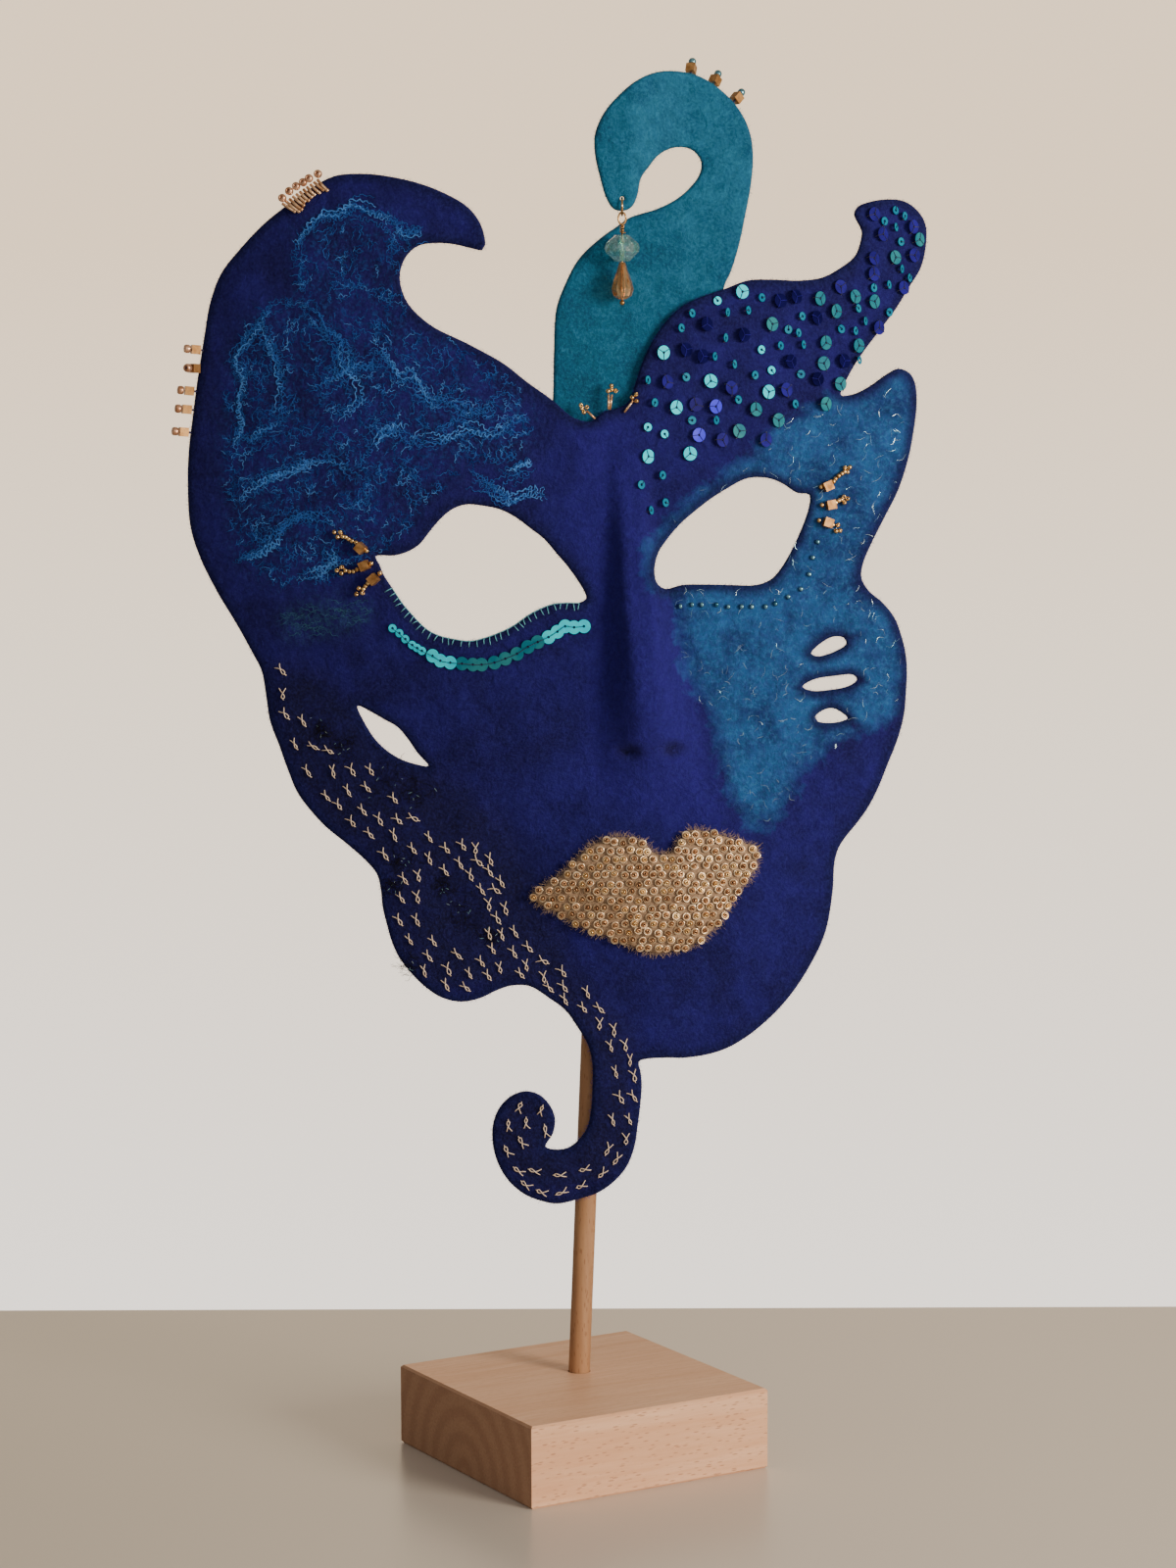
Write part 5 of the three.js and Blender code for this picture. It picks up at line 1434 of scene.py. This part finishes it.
blanket = Trimmings()
edge_line = smooth_line(flat_of(BLANKET_EDGE), 2.35, closed=False)
outward = -sideways(np.gradient(edge_line, axis=0))
if not inside(edge_line[:1] + outward[:1] * 2.0, mask_loops)[0]:
    outward = -outward
for spot, way in zip(edge_line, outward):
    length = maker.uniform(2.2, 3.2)
    slant = maker.uniform(-0.25, 0.25)
    side = np.array([-way[1], way[0]]) * slant
    flat = np.array([spot + way * 0.25, spot + way * length * 0.5 + side * length * 0.5,
                     spot + way * length + side * length])
    points, _ = on_skin(flat, np.array([[-0.3], [0.22], [-0.15]]))
    blanket.add(thread(points, FINE_THREAD * 1.35))
rim_line = smooth_line(edge_line + outward * 0.15, 1.2, closed=False)
points, _ = on_skin(rim_line, -0.55)
blanket.add(thread(points, FINE_THREAD * 1.3))
blanket = blanket.make("blanket_stitch", [thread_teal])


# Loose wool and tinsel on the felt

FULL_TURN = 6.28
# The kinds of wool in the locks, in the order of their materials
PALE_BLUE, DULL_BLUE, SAGE, BLACK, DEEP_BLUE = range(5)


def curly(flat, amplitude, wave, source):
    """A flat line crimped like a wool lock."""
    dense = smooth_line(flat, wave / 7, closed=False)
    ways = np.gradient(dense, axis=0)
    along = np.concatenate([[0], np.cumsum(np.linalg.norm(np.diff(dense, axis=0), axis=1))])
    phase = source.uniform(0, FULL_TURN)
    drift = np.cumsum([source.uniform(-0.6, 0.6) for _ in along])
    swing = np.sin(2 * math.pi * along / wave + phase + drift)
    swell = 0.6 + 0.4 * np.sin(along / (wave * source.uniform(0.5, 1.2)) + source.uniform(0, FULL_TURN))
    looping = 0.35 * amplitude * np.cos(4 * math.pi * along / wave + phase)
    crimped = dense + sideways(ways) * (swing * swell * amplitude)[:, None]
    return crimped + ways / np.linalg.norm(ways, axis=1)[:, None] * looping[:, None]


def add_curl(gathered, flat, width, slot, source, lift):
    on, way = on_skin(flat, lift + source.uniform(-0.1, 0.25))
    gathered.add(fibre(on, width, way), slot=slot)


def bent_line(middle, turn, length, bend):
    """Three flat points of a short hair whose middle is pushed aside."""
    reach = np.array([math.cos(turn), math.sin(turn)]) * length
    aside = np.array([-reach[1], reach[0]]) * bend
    return np.array([middle - reach / 2, middle + aside / 2, middle + reach / 2])


def scattered(loop, source):
    """Random spots in the rectangle round a loop, without end."""
    low, high = loop.min(axis=0), loop.max(axis=0)
    while True:
        yield np.array([source.uniform(low[0], high[0]), source.uniform(low[1], high[1])])


def tuft_spots(count, source):
    """Random spots about the middle of each black tuft."""
    for pixel, reach_px in BLACK_TUFTS:
        middle = flat_of([pixel])[0]
        for _ in range(count):
            yield middle + np.array([source.gauss(0, 0.5), source.gauss(0, 0.5)]) * reach_px * 0.36


def lies_on(spot, loop):
    """Whether a spot lies inside a loop and on the mask's felt."""
    return inside(spot[None], [loop])[0] and inside(spot[None], mask_loops)[0]


maker = random.Random(77)
locks = Trimmings()
for strength, path in LOCKS:
    dense = smooth_line(flat_of(path), 3.5, closed=False)
    for k in range(round(7 + 8 * strength)):
        stout = k < 1 + 2 * strength
        reach = maker.uniform(0.3, 0.6) if stout else maker.uniform(0.15, 0.4)
        first = maker.uniform(0, 1 - reach)
        spread = 1.0 if stout else 1.7
        shift = np.array([maker.gauss(0, spread), maker.gauss(0, spread)])
        part = dense[int(first * len(dense)):int((first + reach) * len(dense)) + 2]
        wobble = part + shift + np.array([[maker.gauss(0, 0.45), maker.gauss(0, 0.45)] for _ in part])
        curl = curly(wobble, maker.uniform(0.7, 1.4), maker.uniform(1.9, 2.8), maker)
        if inside(curl, mask_loops).all():
            width = maker.uniform(0.36, 0.50) if stout else maker.uniform(0.18, 0.28)
            shade = PALE_BLUE if stout and maker.random() < 0.35 + 0.6 * strength else DULL_BLUE
            add_curl(locks, curl, width, shade, maker, 0.3)
haze_loop = flat_of(FOREHEAD_HAZE)
green_loop = flat_of(GREEN_PATCH)
placed = 0
haze_spots = scattered(haze_loop, maker)
while placed < 1500:
    spot = next(haze_spots)
    if waves(spot[0], spot[1], 7, 55) + maker.uniform(-0.9, 1.1) < 0 or not lies_on(spot, haze_loop):
        continue
    hair = bent_line(spot, maker.uniform(0, math.pi), maker.uniform(1.8, 5.5), maker.uniform(-0.4, 0.4))
    curl = curly(hair, maker.uniform(0.4, 0.8), maker.uniform(1.5, 2.4), maker)
    if inside(curl, mask_loops).all():
        width = maker.uniform(0.16, 0.30)
        shade = maker.choice((PALE_BLUE, DULL_BLUE, DULL_BLUE, DULL_BLUE, DULL_BLUE, DEEP_BLUE, DEEP_BLUE))
        add_curl(locks, curl, width, shade, maker, 0.15)
        placed += 1
green_spots = scattered(green_loop, maker)
for _ in range(60):
    spot = next(green_spots)
    if inside(spot[None], [green_loop])[0]:
        hair = bent_line(spot, maker.uniform(-0.5, 0.5), maker.uniform(3, 7), 0)
        add_curl(locks, curly(hair, 0.6, 2.4, maker), maker.uniform(0.12, 0.2), SAGE, maker, 0.15)
for spot in tuft_spots(34, maker):
    hair = bent_line(spot, maker.uniform(0, FULL_TURN), maker.uniform(2, 6), maker.uniform(-0.8, 0.8))
    add_curl(locks, curly(hair, 0.35, 3.0, maker), maker.uniform(0.12, 0.2), BLACK, maker, 0.25)
locks = locks.make("curly_wool_locks", [lock_blue, lock_dull, lock_green, lock_black, lock_deep])

glints = Trimmings()
cheek_loop = flat_of(CERULEAN_CHEEK)
cheek_spots = scattered(cheek_loop, maker)
placed = 0
while placed < 220:
    spot = next(cheek_spots)
    if not lies_on(spot, cheek_loop):
        continue
    hair = bent_line(spot, maker.uniform(0, math.pi), maker.uniform(1.2, 4.6), maker.uniform(-0.7, 0.7))
    line = smooth_line(hair, 0.6, closed=False)
    if inside(line, mask_loops).all():
        on, way = on_skin(line, 0.3)
        glints.add(fibre(on, maker.uniform(0.03, 0.08), tipped(way, 0.4, maker)))
        placed += 1
for spot in tuft_spots(5, maker):
    turn = maker.uniform(0, FULL_TURN)
    reach = np.array([math.cos(turn), math.sin(turn)]) * maker.uniform(0.5, 1.6)
    on, way = on_skin(np.array([spot, spot + reach * 0.5, spot + reach]), 0.45)
    glints.add(fibre(on, 0.13, way))
glints = glints.make("tinsel_fibres", [tinsel])


def stray_hairs(name, loops, face, finish, spacing, reach, seed, thickness):
    """Short hairs that stand out of a felt edge."""
    source = random.Random(seed)
    gathered = Trimmings()
    for loop in loops:
        line = smooth_line(loop, spacing)
        side = sideways(round_ways(line))
        sign = np.where(inside(line + side * 0.8, loops), -1.0, 1.0)
        base_y = face(line[:, 0], line[:, 1])
        for spot, out, turn, y in zip(line, side, sign, base_y):
            out = out * turn
            tangent = np.array([-out[1], out[0]])
            lean = source.gauss(0, 1.1)
            length = reach * source.uniform(0.4, 1.3)
            step = out * math.cos(lean) + tangent * math.sin(lean)
            if np.dot(step, out) < 0.1:
                step = out
            y = y + thickness * source.uniform(0.15, 0.85)
            start = np.array([spot[0] - out[0] * 0.3, y, spot[1] - out[1] * 0.3])
            middle = start + np.array([step[0], source.uniform(-0.4, 0.4), step[1]]) * length * 0.55
            on = np.array([step[0] + tangent[0] * source.uniform(-1, 1), source.uniform(-0.6, 0.6),
                           step[1] + tangent[1] * source.uniform(-1, 1)])
            end = middle + on * length * 0.5
            gathered.add(fibre([start, middle, end], source.uniform(0.06, 0.12), np.array([0, -1.0, 0])))
    return gathered.make(name, [finish])


stray_hairs("mask_stray_wool", mask_loops, smooth_face, fuzz_blue, 0.42, 1.0, 91, FELT)
stray_hairs("lips_stray_wool", [lips_pad_loop], lips_face, fuzz_beige, 0.16, 2.2, 93, 1.8)
stray_hairs("swan_stray_wool", [swan_loop], neck_face, fuzz_turquoise, 0.42, 1.0, 92, FELT)


# The drop on the beak

def ring_of(middle, radius, wire, across, stretch=1.0, gap=0.0):
    """A wire ring round a middle, in the plane of a sideways direction and the upright."""
    across, upright = np.array(across), np.array([0, 0, 1.0])
    points = [np.asarray(middle) + across * radius * math.cos(t) + upright * radius * stretch * math.sin(t)
              for t in np.linspace(gap, 2 * math.pi - gap, 40)]
    return thread(points, wire, 10)


jump_ring = Trimmings()
jump_ring.add(ring_of(ring_middle, RING_RADIUS, RING_WIRE, (0, 1.0, 0), gap=0.04))
jump_ring = jump_ring.make("gold_jump_ring", [wire_gold], "ring")
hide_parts("jump_ring")

ring_bottom = ring_middle[2] - RING_RADIUS
loop_top = ring_bottom + RING_WIRE / 2 + CLEARANCE + DROP_WIRE
loop_low = loop_top - LOOP_LENGTH
rondelle_top = loop_low - WRAP_LENGTH - CLEARANCE
rondelle_low = rondelle_top - RONDELLE_HEIGHT
teardrop_top = rondelle_low - CLEARANCE
teardrop_low = teardrop_top - TEARDROP_LENGTH
ball_z = teardrop_low - CLEARANCE - BALL_DIAMETER / 2
hang = np.array([ring_middle[0], ring_middle[1], 0])

wire = Trimmings()
loop_radius = (LOOP_WIDTH - DROP_WIRE) / 2
wire.add(ring_of(hang + [0, 0, (loop_top + loop_low) / 2], loop_radius, DROP_WIRE, (1.0, 0, 0),
                 stretch=(LOOP_LENGTH - DROP_WIRE) / (LOOP_WIDTH - DROP_WIRE)))
stem = [hang + [0, 0, z] for z in (ball_z, (ball_z + loop_low) / 2, loop_low + DROP_WIRE * 0.6)]
wire.add(thread(stem, DROP_WIRE, 10))
turns = np.linspace(0, 2 * math.pi * 3, 60)
wrap = [hang + [0.62 * math.cos(t), 0.62 * math.sin(t), loop_low - 0.2 - (WRAP_LENGTH - 0.7) * t / turns[-1]]
        for t in turns]
wrap.append(hang + [1.3, -0.2, loop_low - WRAP_LENGTH + 0.6])
wire.add(thread(wrap, DROP_WIRE * 0.75, 8))
ball_rows = [(0.03 + BALL_DIAMETER / 2 * math.sin(t), -BALL_DIAMETER / 2 * math.cos(t))
             for t in np.linspace(0, math.pi, 9)]
wire.add(turned(ball_rows, 18, closed=False), hang + [0, 0, ball_z])
wire = wire.make("wrapped_drop_wire", [wire_gold], "drop")
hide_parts("drop_wire")


def cut_bead(rows, sides, bore, twist=0.5):
    """A drilled bead with flat facets: rings of corners, every other ring turned by a share of a facet."""
    verts, faces = [], []
    for k, (radius, height) in enumerate(rows):
        for j in range(sides):
            t = 2 * math.pi * (j + (k % 2) * twist) / sides
            verts.append((radius * math.cos(t), radius * math.sin(t), height))
    for k in range(len(rows) - 1):
        a, b = k * sides, (k + 1) * sides
        for j in range(sides):
            n = (j + 1) % sides
            if k % 2 == 0:
                faces += [(a + j, a + n, b + j), (b + j, a + n, b + n)]
            else:
                faces += [(a + j, b + n, b + j), (a + j, a + n, b + n)]
    inner = len(verts)
    for height in (rows[-1][1], rows[0][1]):
        verts += [(bore * math.cos(2 * math.pi * j / sides), bore * math.sin(2 * math.pi * j / sides), height)
                  for j in range(sides)]
    top, last = inner, (len(rows) - 1) * sides
    for j in range(sides):
        n = (j + 1) % sides
        faces.append((last + j, last + n, top + n, top + j))
        faces.append((top + j, top + n, top + sides + n, top + sides + j))
        faces.append((top + sides + j, top + sides + n, n, j))
    return verts, faces


half_h, rim = RONDELLE_HEIGHT / 2, RONDELLE_DIAMETER / 2
rondelle_rows = [(rim * 0.40, -half_h), (rim * 0.97, -half_h * 0.30), (rim, half_h * 0.04),
                 (rim * 0.95, half_h * 0.36), (rim * 0.40, half_h)]
rondelle = Trimmings()
rondelle.add(cut_bead(rondelle_rows, 10, 0.55), hang + [0, 0, (rondelle_top + rondelle_low) / 2])
rondelle = rondelle.make("aqua_rondelle", [clear_aqua], "drop", smooth_shade=False)
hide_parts("rondelle_bead")

rim, long = TEARDROP_DIAMETER / 2, TEARDROP_LENGTH
teardrop_rows = [(rim * 0.38, 0), (rim * 0.80, long * 0.09), (rim, long * 0.27), (rim * 0.86, long * 0.46),
                 (rim * 0.52, long * 0.74), (rim * 0.27, long)]
teardrop = Trimmings()
teardrop.add(cut_bead(teardrop_rows, 9, 0.5, 0.0), hang + [0, 0, teardrop_low])
teardrop = teardrop.make("amber_teardrop", [amber_crystal], "drop", smooth_shade=False)
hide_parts("teardrop_bead")

# Floor, light and camera
FLOOR_REACH = 1.6
FLOOR_BACK = 0.224
floor_finish, floor_tree, floor_shader = start_material("pale_lacquered_table",
                                                        {"Roughness": 0.28, "Specular IOR Level": 0.3})
floor_place = object_place(floor_tree)
floor_patch = math_of(floor_tree, "MULTIPLY", noise_at(floor_tree, floor_place, 260, 2, 0.5), 0.2)
# Painted light: the table is drawn lighter towards the right, where the lamp stands, over broad patches of tone.
floor_lit_side = ranged(floor_tree, part_of(floor_tree, floor_place, "X"), -0.22, 0.22)
floor_tone_and_light = math_of(floor_tree, "ADD", floor_lit_side, floor_patch)
floor_tree.links.new(blended(floor_tree, floor_tone_and_light, "#bfb6aa", "#d6cec4"), floor_shader.inputs["Base Color"])
floor_data = bpy.data.meshes.new("floor")
floor_data.from_pydata([(-FLOOR_REACH, -FLOOR_REACH, 0), (FLOOR_REACH, -FLOOR_REACH, 0),
                        (FLOOR_REACH, FLOOR_BACK, 0), (-FLOOR_REACH, FLOOR_BACK, 0)], [], [(0, 1, 2, 3)])
floor_data.materials.append(floor_finish)
floor = new_object("floor", floor_data)

world = bpy.data.worlds.new("soft_studio")
bpy.context.scene.world = world
world.use_nodes = True
sky_tree = world.node_tree
sky_way = add_node(sky_tree, "ShaderNodeSeparateXYZ", {},
                   {"Vector": add_node(sky_tree, "ShaderNodeTexCoord").outputs["Generated"]})
wall = blended(sky_tree, ranged(sky_tree, sky_way.outputs["Z"], -0.25, 0.06), "#ece3d9", "#dcc4a6")
room = blended(sky_tree, ranged(sky_tree, sky_way.outputs["X"], -0.7, 0.7), "#928c84", "#aca294")
sky = sky_tree.nodes["Background"]
ahead = ranged(sky_tree, sky_way.outputs["Y"], 0.80, 0.93)
sky_tree.links.new(blended(sky_tree, ahead, room, wall), sky.inputs["Color"])
sky_tree.links.new(ranged(sky_tree, sky_way.outputs["Y"], 0.80, 0.93, 0.92, 2.2), sky.inputs["Strength"])


def soft_light(name, place, target, size, watts, hex_code):
    """A round soft lamp at a place, turned to its target."""
    lamp = bpy.data.lights.new(name, "AREA")
    lamp.shape = "DISK"
    lamp.size = size
    lamp.energy = watts
    lamp.color = colour(hex_code)[:3]
    made = new_object(name, lamp)
    made.location = place
    made.rotation_euler = (Vector(target) - Vector(place)).to_track_quat("-Z", "Y").to_euler()


soft_light("window_right", (1.38, -1.16, 0.60), (0, 0, 0.27), 0.7, 36, "#fff0de")
soft_light("fill_front", (0.2, -1.7, 0.9), (0, 0, 0.27), 1.2, 4, "#f2f0f4")

camera_data = bpy.data.cameras.new("camera")
camera_data.sensor_fit = "VERTICAL"
camera_data.sensor_height = SENSOR
camera_data.sensor_width = SENSOR
camera_data.lens = FOCAL_PIXELS / PHOTO_HEIGHT * SENSOR
camera = new_object("camera", camera_data)
camera.matrix_world = (Matrix.Translation(Vector(CAMERA_PLACE) * MM)
                       @ Matrix.Rotation(math.pi / 2 - PITCH_DOWN, 4, "X") @ Matrix.Rotation(ROLL, 4, "Z"))
bpy.context.scene.camera = camera
